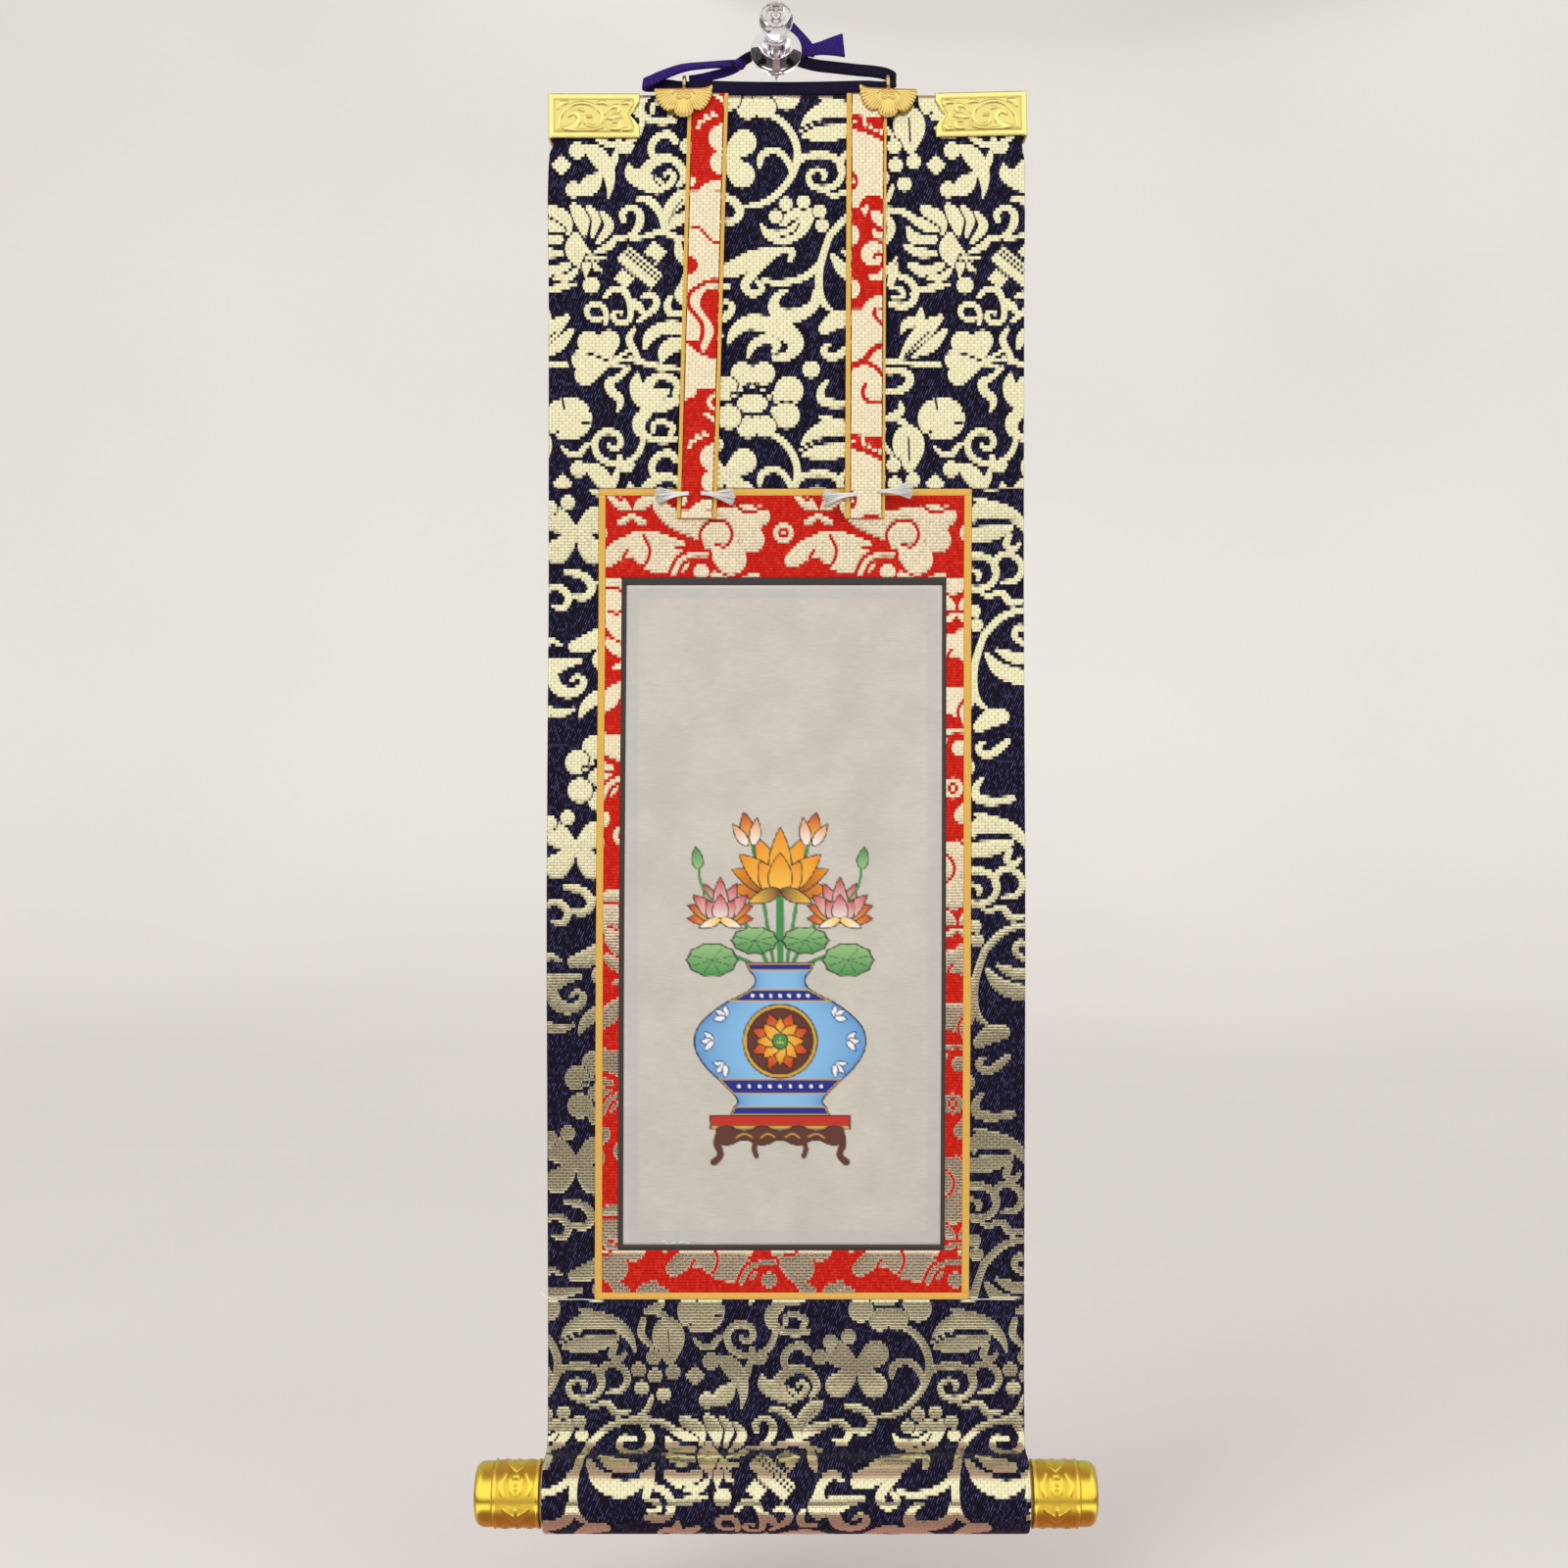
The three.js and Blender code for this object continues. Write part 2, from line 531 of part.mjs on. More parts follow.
// ---- push pin --------------------------------------------------------------------------------
function buildPin() {
  const pin = new THREE.Group();
  pin.rotation.x = THREE.MathUtils.degToRad(180 - PIN.lift);          // the lathe's +Y points out
  scroll.add(pin);
  const { outside, needle, inside, buried, tip, bore } = PIN;
  const lathe = (rows, sides) =>
    clean(new THREE.LatheGeometry(rows.map(([r, h]) => new THREE.Vector2(r, h)), sides));
  const top = outside + inside - GAP;
  const shaft = [[0, -buried], [needle, tip - buried], [needle, top], [0, top]];
  add('pin_needle', lathe(shaft, 12), FINISH.steel(), pin);
  const head = [
    // radius, height above the flange's back
    [0, inside], [bore, inside], [bore, 0], [4.9, 0], [4.9, 1.2], [4.3, 1.8], [3.0, 3.0], [2.3, 5.0],
    [2.2, 8.0], [2.6, 9.5], [3.1, 10.5], [3.15, 12.0], [2.6, 13.6], [1.5, 14.5], [0, 14.8],
  ];
  add('pin_head', lathe(head.map(([r, h]) => [r, h + outside]), 32), FINISH.acrylic(), pin);
}

buildStave();
buildTopCloth();
buildPillars();
buildInnerFrame();
buildBottomCloth();
buildStrips();
buildTufts();
buildCornerPlates();
buildWashers();
buildRings();
buildRoller();
buildCord();
buildPin();

export default scroll;
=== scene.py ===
# %% [markdown]
# # A small altar hanging scroll on a push pin
#
# The scroll is a laminate: woven brocades, a paper panel and thin coloured slips are pasted
# edge to edge on backing paper. A stave stiffens its head, a roller weighs its foot, and a flat
# braid hangs it from a clear push pin. Nearly all of it is cloth, so the lesson is about cloth:
# how to lay a woven figure on a hanging sheet so that it follows every bend.
#
# Their boxes and edges say where everything goes.

# %% The fixed frame
import json
import math

import bpy
import numpy as np
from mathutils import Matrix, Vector

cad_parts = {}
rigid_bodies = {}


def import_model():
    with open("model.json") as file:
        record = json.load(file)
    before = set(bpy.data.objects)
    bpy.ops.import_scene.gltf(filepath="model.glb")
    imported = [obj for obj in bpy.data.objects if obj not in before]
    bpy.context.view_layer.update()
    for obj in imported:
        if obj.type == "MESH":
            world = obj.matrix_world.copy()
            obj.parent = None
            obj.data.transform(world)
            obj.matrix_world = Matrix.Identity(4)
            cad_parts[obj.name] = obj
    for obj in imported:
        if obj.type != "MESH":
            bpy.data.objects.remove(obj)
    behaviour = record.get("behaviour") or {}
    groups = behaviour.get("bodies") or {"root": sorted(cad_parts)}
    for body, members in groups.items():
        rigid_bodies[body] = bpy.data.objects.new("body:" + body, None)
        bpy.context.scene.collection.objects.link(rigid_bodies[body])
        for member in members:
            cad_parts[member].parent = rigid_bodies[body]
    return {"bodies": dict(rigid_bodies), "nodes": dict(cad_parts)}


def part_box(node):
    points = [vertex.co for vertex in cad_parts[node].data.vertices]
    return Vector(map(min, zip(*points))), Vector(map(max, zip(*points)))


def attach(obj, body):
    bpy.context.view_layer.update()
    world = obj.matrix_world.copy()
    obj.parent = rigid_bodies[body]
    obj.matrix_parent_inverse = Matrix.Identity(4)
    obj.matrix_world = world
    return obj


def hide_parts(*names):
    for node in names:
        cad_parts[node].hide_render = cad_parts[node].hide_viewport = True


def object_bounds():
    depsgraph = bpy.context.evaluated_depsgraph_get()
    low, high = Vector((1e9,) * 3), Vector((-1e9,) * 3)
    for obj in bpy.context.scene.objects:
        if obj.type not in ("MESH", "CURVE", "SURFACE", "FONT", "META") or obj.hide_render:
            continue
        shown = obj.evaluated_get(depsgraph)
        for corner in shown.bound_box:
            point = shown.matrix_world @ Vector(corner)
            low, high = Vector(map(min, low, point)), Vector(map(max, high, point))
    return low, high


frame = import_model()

MM = 0.001
cad_low, cad_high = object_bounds()
body = next(iter(frame["bodies"]))


def box(node):
    """Lowest and highest corner of a fixed node, in millimetres."""
    low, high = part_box(node)
    return np.array(low) / MM, np.array(high) / MM


print("nodes", len(frame["nodes"]), "body", body)
print("height in mm", round((cad_high.z - cad_low.z) / MM, 1))

# %% [markdown]
# ## The camera
#
# It looks straight at the wall from 450 mm, a little to the right of the pin and about level
# with the middle of the scroll. A lens of 53 mm keeps the upright lines upright.

# %% Camera
EYE = Vector((1.5, -450.0, -140.5)) * MM
LENS, SENSOR = 52.8, 36.0


def placed(name, data):
    """An object that shows the data, linked into the scene."""
    made = bpy.data.objects.new(name, data)
    bpy.context.scene.collection.objects.link(made)
    return made


camera = placed("camera", bpy.data.cameras.new("camera"))
camera.data.lens, camera.data.sensor_width = LENS, SENSOR
camera.location, camera.rotation_euler = EYE, (math.radians(90), 0, 0)
bpy.context.scene.camera = camera
print("camera sees", round(EYE.length * SENSOR / LENS / MM), "mm of the wall")

# %% [markdown]
# ## Getting arrays into Blender
#
# Every new piece is worked out with numpy as whole arrays, in millimetres, and only this helper
# turns it into a mesh in metres. It also carries two kinds of extra data: a UV map named
# `cloth`, measured in millimetres along the surface, and any values kept on face corners.

# %% One helper for every mesh
def smooth_mesh(name, points, faces, look):
    """A mesh from points in mm, a list or a grid of them, and lists of faces."""
    mesh = bpy.data.meshes.new(name)
    mesh.from_pydata((np.asarray(points) * MM).reshape(-1, 3).tolist(), [], faces)
    mesh.polygons.foreach_set("use_smooth", [True] * len(mesh.polygons))
    mesh.materials.append(look)
    return mesh


def put(name, node, points, faces, look, slot, uv=None, corners=None):
    """Makes an object that rides on the body, and replaces a fixed node where one is given."""
    mesh = smooth_mesh(name, points, faces, look)
    if uv is not None:
        mesh.uv_layers.new(name="cloth").data.foreach_set("uv", np.asarray(uv, float).ravel())
    if corners is not None:
        layer = mesh.attributes.new("figure", "FLOAT", "CORNER")
        layer.data.foreach_set("value", corners)
    piece = placed(name, mesh)
    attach(piece, body)
    if node:
        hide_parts(node)
    return piece


def spread(piece, key, values):
    """Keeps one number for each point of a piece, for its finish to read."""
    piece.data.attributes.new(key, "FLOAT", "POINT").data.foreach_set("value", values)


def beside(*arrays):
    """Arrays stretched to one shape and set side by side, such as x, y and z into points."""
    return np.stack(np.broadcast_arrays(*arrays), -1)


def quads(rows, columns, start=0, flip=False):
    """Faces of a grid of points stored row by row, wound down the rows first."""
    at = start + np.arange(rows * columns).reshape(rows, columns)
    a, b, c, d = at[:-1, :-1], at[1:, :-1], at[1:, 1:], at[:-1, 1:]
    order = (a, d, c, b) if flip else (a, b, c, d)
    return np.stack(order, -1).reshape(-1, 4)


def rings(steps, around):
    """Faces of a closed ring of points at each step: the walls, then a cap at each end."""
    at = np.arange(steps * around).reshape(steps, around)
    following = np.roll(at, -1, axis=1)
    walls = beside(at[:-1], following[:-1], following[1:], at[1:]).reshape(-1, 4)
    return walls.tolist() + [at[0, ::-1].tolist(), at[-1].tolist()]


def circle(count):
    """Angles of a full turn in equal steps, the last one left out."""
    return np.arange(count) * math.tau / count

# %% [markdown]
# ## Writing a finish as a sum
#
# A woven surface is arithmetic: thread counts, fractions of a pitch, masks. In the node editor
# that is dozens of Math nodes, so one small class lets Python write them. Adding two wires adds
# an Add node. Any other node comes from `node`, which sets its options before its sockets.

# %% Wires and finishes
class Wire:
    """One output socket. Sums, products and comparisons of wires become Math nodes."""
    tree = None

    def __init__(self, socket):
        self.socket = socket

    @classmethod
    def node(cls, kind, settings=None, sockets=None, out=0):
        """Adds one node: its settings, then the value or the wire of each socket."""
        made = cls.tree.nodes.new("ShaderNode" + kind)
        for key, value in (settings or {}).items():
            setattr(made, key, value)
        for key, value in (sockets or {}).items():
            if isinstance(value, Wire):
                cls.tree.links.new(value.socket, made.inputs[key])
            else:
                made.inputs[key].default_value = value
        return cls(made.outputs[out]) if made.outputs else None

    def math(self, operation, *others):
        values = dict(enumerate((self, *others)))
        return Wire.node("Math", {"operation": operation}, values)

    def __add__(self, other):
        return self.math("ADD", other)

    def __sub__(self, other):
        return self.math("SUBTRACT", other)

    def __rsub__(self, other):
        return Wire.node("Math", {"operation": "SUBTRACT"}, {0: other, 1: self})

    def __mul__(self, other):
        return self.math("MULTIPLY", other)

    def __truediv__(self, other):
        return self.math("DIVIDE", other)

    def __neg__(self):
        return self * -1.0

    __radd__ = __add__
    __rmul__ = __mul__

    def fade(self, start, end):
        """0 before start, 1 after end, smooth between."""
        return Wire.node("MapRange", {"interpolation_type": "SMOOTHSTEP"},
                         {"Value": self, "From Min": start, "From Max": end})


def colour(red, green, blue):
    """A colour given as on a paint chart, 0 to 255, as the light values that shaders use."""
    shares = np.array([red, green, blue]) / 255
    light = np.where(shares <= 0.04045, shares / 12.92, ((shares + 0.055) / 1.055) ** 2.4)
    return tuple(light.tolist())


def blend(share, low, high):
    """Mixes two colours, given as triples or wires, by a share that may vary."""
    ends = [c if isinstance(c, Wire) else (*c, 1.0) for c in (low, high)]
    return Wire.node("Mix", {"data_type": "RGBA"}, {0: share, 6: ends[0], 7: ends[1]}, out=2)


def vector(operation, *values):
    """One Vector Math node."""
    return Wire.node("VectorMath", {"operation": operation}, dict(enumerate(values)))


def noise(place, scale, detail=2.0, rough=0.5):
    """Cloudy noise from 0 to 1; scale is in cycles for each unit of place."""
    return Wire.node("TexNoise", None, {"Vector": place, "Scale": scale, "Detail": detail,
                                        "Roughness": rough})


def fresh(block):
    """Empties the nodes of a material or a world, and lets the next ones go there."""
    block.use_nodes = True
    Wire.tree = block.node_tree
    Wire.tree.nodes.clear()
    return block


def finish(name, write):
    """A material whose surface sockets are what write() returns, by name."""
    material = fresh(bpy.data.materials.new(name))
    Wire.node("OutputMaterial", None, {"Surface": Wire.node("BsdfPrincipled", None, write())})
    return material


def place_mm():
    """The point on the object, in millimetres."""
    here = Wire.node("TexCoord", out="Object")
    return vector("MULTIPLY", here, (1 / MM,) * 3)


def parts(of):
    """The three numbers of a vector."""
    split = Wire.node("SeparateXYZ", None, {0: of})
    return [Wire(socket) for socket in split.socket.node.outputs]


def flat_point(across, down=0.0):
    """A vector from two numbers."""
    return Wire.node("CombineXYZ", None, {0: across, 1: down})


def cloth_map():
    """How far across and down a cloth the point is, in millimetres of its UV map."""
    return parts(Wire.node("UVMap", {"uv_map": "cloth"}))[:2]


def kept(key, out="Fac"):
    """What the mesh keeps under a name."""
    return Wire.node("Attribute", {"attribute_name": key}, out=out)


def bumped(strength, deep, height):
    """The surface normal over small hills, as deep as given in metres."""
    return Wire.node("Bump", None, {"Strength": strength, "Distance": deep, "Height": height},
                     out="Normal")

# %% [markdown]
# ## Smooth lines through a few points
#
# A maker bends a wire through pins. The same idea gives the braid's route and, later, every
# stroke of the woven figure: a Catmull-Rom line that passes through all its points. The
# centripetal kind is used, because it never loops where points stand close together.

# %% The line through pins
def hermite(t, start, leave, end, reach):
    """A cubic from start to end that leaves and arrives with given slopes."""
    return ((2 * t**3 - 3 * t**2 + 1) * start + (t**3 - 2 * t**2 + t) * leave
            + (3 * t**2 - 2 * t**3) * end + (t**3 - t**2) * reach)


def through(pins, steps):
    """Hermite pieces between pins, whose slopes come from the square roots of the spans."""
    pins = np.asarray(pins, float)
    ends = np.vstack([2 * pins[0] - pins[1], pins, 2 * pins[-1] - pins[-2]])
    spans = np.sqrt(np.linalg.norm(np.diff(ends[:, :3], axis=0), axis=1)) + 1e-9
    before, here, after = (spans[k:k + len(pins) - 1, None] for k in range(3))
    a, b, c, d = (ends[k:k + len(pins) - 1] for k in range(4))
    leave = here * ((b - a) / before - (c - a) / (before + here) + (c - b) / here)
    reach = here * ((c - b) / here - (d - b) / (here + after) + (d - c) / after)
    t = (np.arange(steps) / steps)[None, :, None]
    line = hermite(t, *(x[:, None, :] for x in (b, leave, c, reach)))
    return np.vstack([line.reshape(-1, pins.shape[1]), pins[-1]])


def unit(vectors):
    """Each vector over its own length."""
    return vectors / np.linalg.norm(vectors, axis=-1, keepdims=True)


def run_of(line):
    """How far along a line each of its points lies."""
    return np.concatenate([[0], np.cumsum(np.linalg.norm(np.diff(line, axis=0), axis=1))])


# %% [markdown]
# ## The braid
#
# One flat silk braid, 2.3 mm wide, hangs the scroll. From the knot it lies over the pin's
# needle, turns behind the right ring, comes back level through both rings, folds at the left
# and climbs to the knot again. It is a section carried along a route. Each pin of the route
# holds a place, how far the broad side rolls about the route, and the width there.

# %% Routes of the braid
FULL, PINCHED, THICK = 2.3, 1.5, 0.8
LOOP = [
    # x, y and z in mm, roll in degrees, width
    (-7.2,-2.4,-.2,5,1.9), (-6.1,-2.35,.5,25,2), (-4.4,-2.3,1.4,55,2.1), (-2.2,-2.25,1.8,72,2.1),
    (0,-2.2,1.83,76,2.1), (2,-2.15,1.55,64,2.1), (4.4,-1.8,.5,22,FULL), (7.5,-1.5,-.3,6,FULL),
    (11.5,-1.2,-.7,4,FULL), (15.8,-.95,-1.1,2,FULL), (19,-.8,-1.35,0,FULL), (21.4,-.75,-1.8,0,FULL),
    (22.6,-1.05,-2.55,0,FULL), (22.95,-1.95,-3.5,0,FULL), (22.75,-2.85,-4.3,0,1.8),
    (21.65,-3.2,-4.65,0,PINCHED), (20.5,-3.2,-4.75,0,PINCHED), (18,-3.2,-5.1,0,2.5),
    (10,-3.2,-5.42,0,2.8), (2,-3.2,-5.52,0,2.8), (-8,-3.2,-5.42,0,2.8), (-15,-3.2,-5.1,0,2.5),
    (-16.8,-3.2,-4.78,0,PINCHED), (-17.85,-3.2,-4.7,0,PINCHED), (-18.9,-3.2,-4.7,0,PINCHED),
    (-21,-3.2,-4.8,0,FULL), (-24,-3.25,-4.9,0,FULL), (-25.4,-3.7,-4.95,-4,FULL),
    (-25.5,-4.5,-4.85,-10,FULL), (-24,-4.95,-4.3,-20,FULL), (-21.9,-4.8,-3.25,-30,FULL),
    (-18,-4.4,-1.75,-42,FULL), (-13.5,-3.5,-.95,-50,FULL), (-10.7,-2.9,-.6,-45,FULL),
    (-8.7,-2.55,-.45,-30,2), (-7.4,-2.45,-.42,-20,1.8),
]
INNER = [
    (-17,-1.95,-3.2,-20,PINCHED), (-15.5,-1.85,-3.05,-25,1.8), (-14,-1.65,-2.75,-30,2),
    (-12.5,-1.45,-2.35,-30,2.1), (-11,-1.25,-1.9,-28,2.1), (-9.6,-1.15,-1.45,-20,2),
    (-8.6,-1.3,-1.15,-15,1.9), (-7.5,-1.8,-.8,-10,1.8),
]
TAIL_UP = [
    (6.3,-2.3,1.2,0,2.2), (6.5,-2.35,2.1,0,FULL), (5.9,-2.4,3.2,0,FULL), (4.8,-2.4,4.5,0,FULL),
    (3.6,-2.35,5.8,0,FULL), (2.6,-2.25,6.9,0,FULL),
]
TAIL_SIDE = [
    (4.3,-2.95,1.5,0,2.1), (5.8,-3.05,1.9,0,2.2), (7.2,-3.05,2.2,0,FULL), (8.6,-2.95,2.5,0,2.6),
    (10.2,-3,2.75,0,3.3), (11.7,-3,2.95,0,4), (13.1,-2.9,3.1,0,4.7),
]
print("pins in the routes", [len(route) for route in (LOOP, INNER, TAIL_UP, TAIL_SIDE)])

# %% [markdown]
# Strands cross over and under each other in a diamond pattern. The mesh carries the larger
# swells of it, and the finish paints in the glint of single silk threads as lighter specks: a
# painted highlight. Light and shade are painted as well: the silk is painted violet where it
# is lit, and the level run and the right strand, which hang in their own shade, are painted
# nearly black.

# %% Finish of the braid
STRAND, SLANT = 0.62, 0.9     # from one crossing of the strands to the next, and their slant


def painted_light_on_left_strand():
    """Painted light: one on the strand that leans forward at the left and climbs to the knot, else
    nothing.
    """
    x, y, z = parts(place_mm())
    forward = (-y).fade(3.5, 4.1)
    return forward.math("MAXIMUM", (-x).fade(8.0, 10.0) * z.fade(-3.4, -2.6))


def braid_look(lit_share=None):
    """Writes the silk: diamonds |sin a|, |sin b| on two slanted directions of the cloth map."""
    def look():
        lit = lit_share() if lit_share else None
        across, along = cloth_map()
        turn = math.pi / STRAND
        one = ((along + across * SLANT) * turn).math("SINE").math("ABSOLUTE")
        two = ((along - across * SLANT) * turn).math("SINE").math("ABSOLUTE")
        swell = one.math("MAXIMUM", two)
        hair = noise(flat_point(across * 14.0, along * 3.0), 1.0, 3.0)
        tone = swell.fade(0.45, 1.0) * (0.35 + hair * 0.9)
        # A painted highlight: lighter violet specks where single threads would catch the light.
        painted_glint = hair.fade(0.52, 0.70) * swell.fade(0.55, 0.9)
        low, high, spark = colour(9, 3, 24), colour(46, 16, 116), 0.7
        # Painted shade: where the strand is not lit, both colours give way to near black.
        if lit:
            low = blend(lit, colour(2, 1, 6), low)
            high = blend(lit, colour(13, 5, 30), high)
            spark = 0.15 + lit * 0.55
        silk = blend(tone, low, high)
        return {"Normal": bumped(0.6, 0.00012, swell + hair * 0.5),
                "Base Color": blend(painted_glint * spark, silk, colour(112, 78, 214)),
                "Roughness": 0.55 - hair * 0.15, "Specular IOR Level": 0.15,
                "Sheen Weight": 0.03, "Sheen Roughness": 0.4,
                "Sheen Tint": (*colour(120, 80, 230), 1.0)}
    return look


braid_silk = finish("braid_silk", braid_look())
# The loop's silk carries painted light on its left strand and painted shade elsewhere.
painted_light_and_shade_silk = finish("painted_light_and_shade_silk", braid_look(painted_light_on_left_strand))
print("strands cross every", STRAND, "mm")

# %% [markdown]
# The section is a superellipse, a flat oval with full edges. At each step of the route the
# broad direction starts upright, square to the route, and rolls about it.

# %% Carrying the section
FULLNESS = 0.55      # power of the oval's sine and cosine: 1 is an ellipse, 0 a rectangle


def ribbon(pins, per_stretch, around=24, thick=THICK, swell=0.05):
    """Points (steps, around): centre + broad * superellipse cosine + face * its sine."""
    route = through(pins, per_stretch)
    centre, roll, width = route[:, :3], np.radians(route[:, 3]), route[:, 4]
    along = unit(np.gradient(centre, axis=0))
    broad = unit(np.array([0, 0, 1.0]) - along * along[:, 2:3])
    side = np.cross(along, broad)
    broad, face = (broad * np.cos(roll)[:, None] + side * np.sin(roll)[:, None],
                   side * np.cos(roll)[:, None] - broad * np.sin(roll)[:, None])
    angle = circle(around)
    over, deep = (np.sign(wave) * np.abs(wave) ** FULLNESS
                  for wave in (np.cos(angle), np.sin(angle)))
    run = run_of(centre)
    across = width[:, None] / 2 * over
    weave = np.maximum(*(np.abs(np.sin((run[:, None] + slant * across) * math.pi / STRAND))
                         for slant in (SLANT, -SLANT)))
    depth = (thick / 2 + swell * (weave - 0.7)) * deep
    points = (centre[:, None] + broad[:, None] * across[..., None]
              + face[:, None] * depth[..., None])
    return points, beside(across, run[:, None]), centre


def tube(name, node, points, maps, look, slot):
    """A piece from a ring of points at each step, with flat ends."""
    faces = rings(*points.shape[:2])
    flat = maps.reshape(-1, 2)
    return put(name, node, points, faces, look, slot, uv=flat[np.concatenate(faces)])


braid_pieces, centres = {}, {}
for part, pins, steps, look in [
        ("loop", LOOP, 14, painted_light_and_shade_silk), ("inner", INNER, 6, braid_silk),
        ("tail_up", TAIL_UP, 6, braid_silk), ("tail_side", TAIL_SIDE, 6, braid_silk)]:
    points, maps, centres[part] = ribbon(pins, steps)
    braid_pieces[part] = tube("braid_" + part, "cord_" + part, points, maps, look, "braid")
    print(part, "of the braid:", round(run_of(centres[part])[-1], 1), "mm")

# %% [markdown]
# The knot is the loop's end wrapped once about itself and drawn tight: a small ball with
# slanting ridges where the braid goes round.

# %% The knot
KNOT, KNOT_RADII, RIDGE, WRAPS = np.array([-7.15, -2.4, -0.45]), [1.2, 1.05, 1.1], 0.16, 3
up, round_ = np.meshgrid(np.linspace(0, math.pi, 40)[::-1], circle(64), indexing="ij")
reach = 1 + RIDGE * (np.abs(np.sin(WRAPS * (up * 1.4 + round_ / 2))) - 0.5) * np.sin(up)
ball = beside(np.sin(up) * np.cos(round_), np.sin(up) * np.sin(round_), np.cos(up))
knot_maps = beside(np.linspace(0, 6, 64), np.linspace(0, 3, 40)[:, None])
knot = tube("braid_knot", "cord_knot", KNOT + ball * reach[..., None] * KNOT_RADII, knot_maps,
            braid_silk, "braid")
print("knot", KNOT_RADII, "mm in radius")

# %% [markdown]

# %% [markdown]
# ## The woven figure
#
# Both brocades are lampas weaves: a plain coloured ground, and gold weft that comes to the
# front wherever the figure is. A weaver charts one repeat on squared paper. Here the repeat is
# a list of brush strokes in millimetres, each a few pins of x, y and width, drawn on a tile
# that joins itself at its edges. What is kept at each spot of the tile is the distance to the
# nearest edge of the figure, below zero inside it. Distances blend cleanly between spots, so
# an edge stays sharp however far the tile is stretched or sampled.

# %% A chart of one repeat
FAR = 0.8


class Chart:
    """One repeat of a figure, as the distance in mm to its edge, with x right and y down."""
    STEP, DAB = 0.1, 0.12     # from one spot of the tile, and one dab of a stroke, to the next

    def __init__(self, wide, high):
        self.wide, self.high = wide, high
        self.edge = np.full((round(high / self.STEP), round(wide / self.STEP)), FAR)

    def window(self, x, y, reach):
        """Rows and columns of the tile near a point, wrapped round its edges, and offsets."""
        count = math.ceil(reach / self.STEP) + 1
        near = np.arange(-count, count + 1)
        row, column = near + round(y / self.STEP), near + round(x / self.STEP)
        down, right = row * self.STEP - y, column * self.STEP - x
        rows, columns = self.edge.shape
        return np.ix_(row % rows, column % columns), right[None], down[:, None]

    def lay(self, spot, distance, cut):
        """Joins a shape to the figure, or cuts it out."""
        had = self.edge[spot]
        self.edge[spot] = np.maximum(had, -distance) if cut else np.minimum(had, distance)

    def dot(self, x, y, radius, cut=False, flat=1.0):
        """An oval: the distance to its centre less its radius, squeezed in height."""
        spot, right, down = self.window(x, y, radius + FAR)
        self.lay(spot, np.hypot(right, down / flat) - radius, cut)

    def stroke(self, pins, width=None, cut=False):
        """A brush stroke: round dabs along a smooth line through the pins."""
        if width is not None:
            pins = [(*pin[:2], width) for pin in pins]
        line = through(pins, 16)
        gone = run_of(line[:, :2])
        dabs = np.arange(0, gone[-1] + self.DAB / 2, self.DAB)
        for x, y, wide in np.stack([np.interp(dabs, gone, line[:, k]) for k in range(3)], -1):
            self.dot(x, y, wide / 2, cut)

    def dots(self, places, radius, cut=False, clear=None):
        """Equal dots. Each first clears a wider round of ground, where one is given."""
        for x, y in places:
            if clear:
                self.dot(x, y, clear, cut=True)
            self.dot(x, y, radius, cut)

    def strokes(self, many, width=None, cut=False):
        """Several brush strokes, one after the other."""
        for pins in many:
            self.stroke(pins, width, cut)

    def block(self, x, y, half, turn=0.0, cut=False):
        """A rectangle turned about its middle: the farther of its two side distances."""
        spot, right, down = self.window(x, y, max(half) * 1.5 + FAR)
        c, s = math.cos(math.radians(turn)), math.sin(math.radians(turn))
        along, across = right * c - down * s, right * s + down * c
        self.lay(spot, np.maximum(abs(along) - half[0], abs(across) - half[1]), cut)

    def at(self, x, y):
        """The tile read between its spots, for any x and y."""
        rows, columns = self.edge.shape
        down, right = np.asarray(y) / self.STEP, np.asarray(x) / self.STEP
        j, i = np.floor(down).astype(int), np.floor(right).astype(int)
        b, a = down - j, right - i
        cell = [self.edge[(j + dj) % rows, (i + di) % columns] for dj in (0, 1) for di in (0, 1)]
        return (cell[0] * (1 - a) + cell[1] * a) * (1 - b) + (cell[2] * (1 - a) + cell[3] * a) * b


TALL, WEFTS = 61.3, 106      # height of a repeat of the cloth, and the wefts in it
PICK = TALL / WEFTS
print("from one weft to the next", round(PICK, 3), "mm")

# %% [markdown]
# The navy cloth carries a Chinese-grass scroll: thin vines that end in spirals, with peonies,
# a chrysanthemum, grapes, buds and small treasures such as scroll cases between them. The
# chart is grouped by motif, so that each can be followed on its own.

# %% Buds, clouds and the chrysanthemum
navy_chart = Chart(72.4, TALL)
BUD = [
    [(7.4,9.6,1.2), (9.6,11.4,3.4), (11.6,14.4,2.6), (12,17.2,1.4), (11.6,19.6,.3)],
    [(6.6,18.4,1.6), (8.2,17,3.6), (9.9,15.2,1.2)],
    [(13.3,9.9,.3), (12.9,12.1,1.4), (12.3,14.4,.4)],
]
CLOUD_CURL = [
    [(24.6,8.6,1.4), (23.6,7.4,1.5), (21.4,7.7,1.4), (20,9.5,1.4), (20.3,11.4,1.2), (22,12,1)],
    [(15.6,13,.4), (16.2,15,2.6), (18.6,16.2,3.6), (21,17.2,3.2)],
    [(18.2,15,2.2), (20.2,12.8,2), (23.4,11.9,1.5), (25.6,13.4,1.6), (26.3,15.6,1.4), (25.2,17.2,.9)],
    [(21.6,17.8,1.4), (23.6,16.8,1.3), (24.3,15.2,1.2), (23.4,14.5,.9), (22.6,15,.8)],
]
navy_chart.strokes(BUD + CLOUD_CURL)
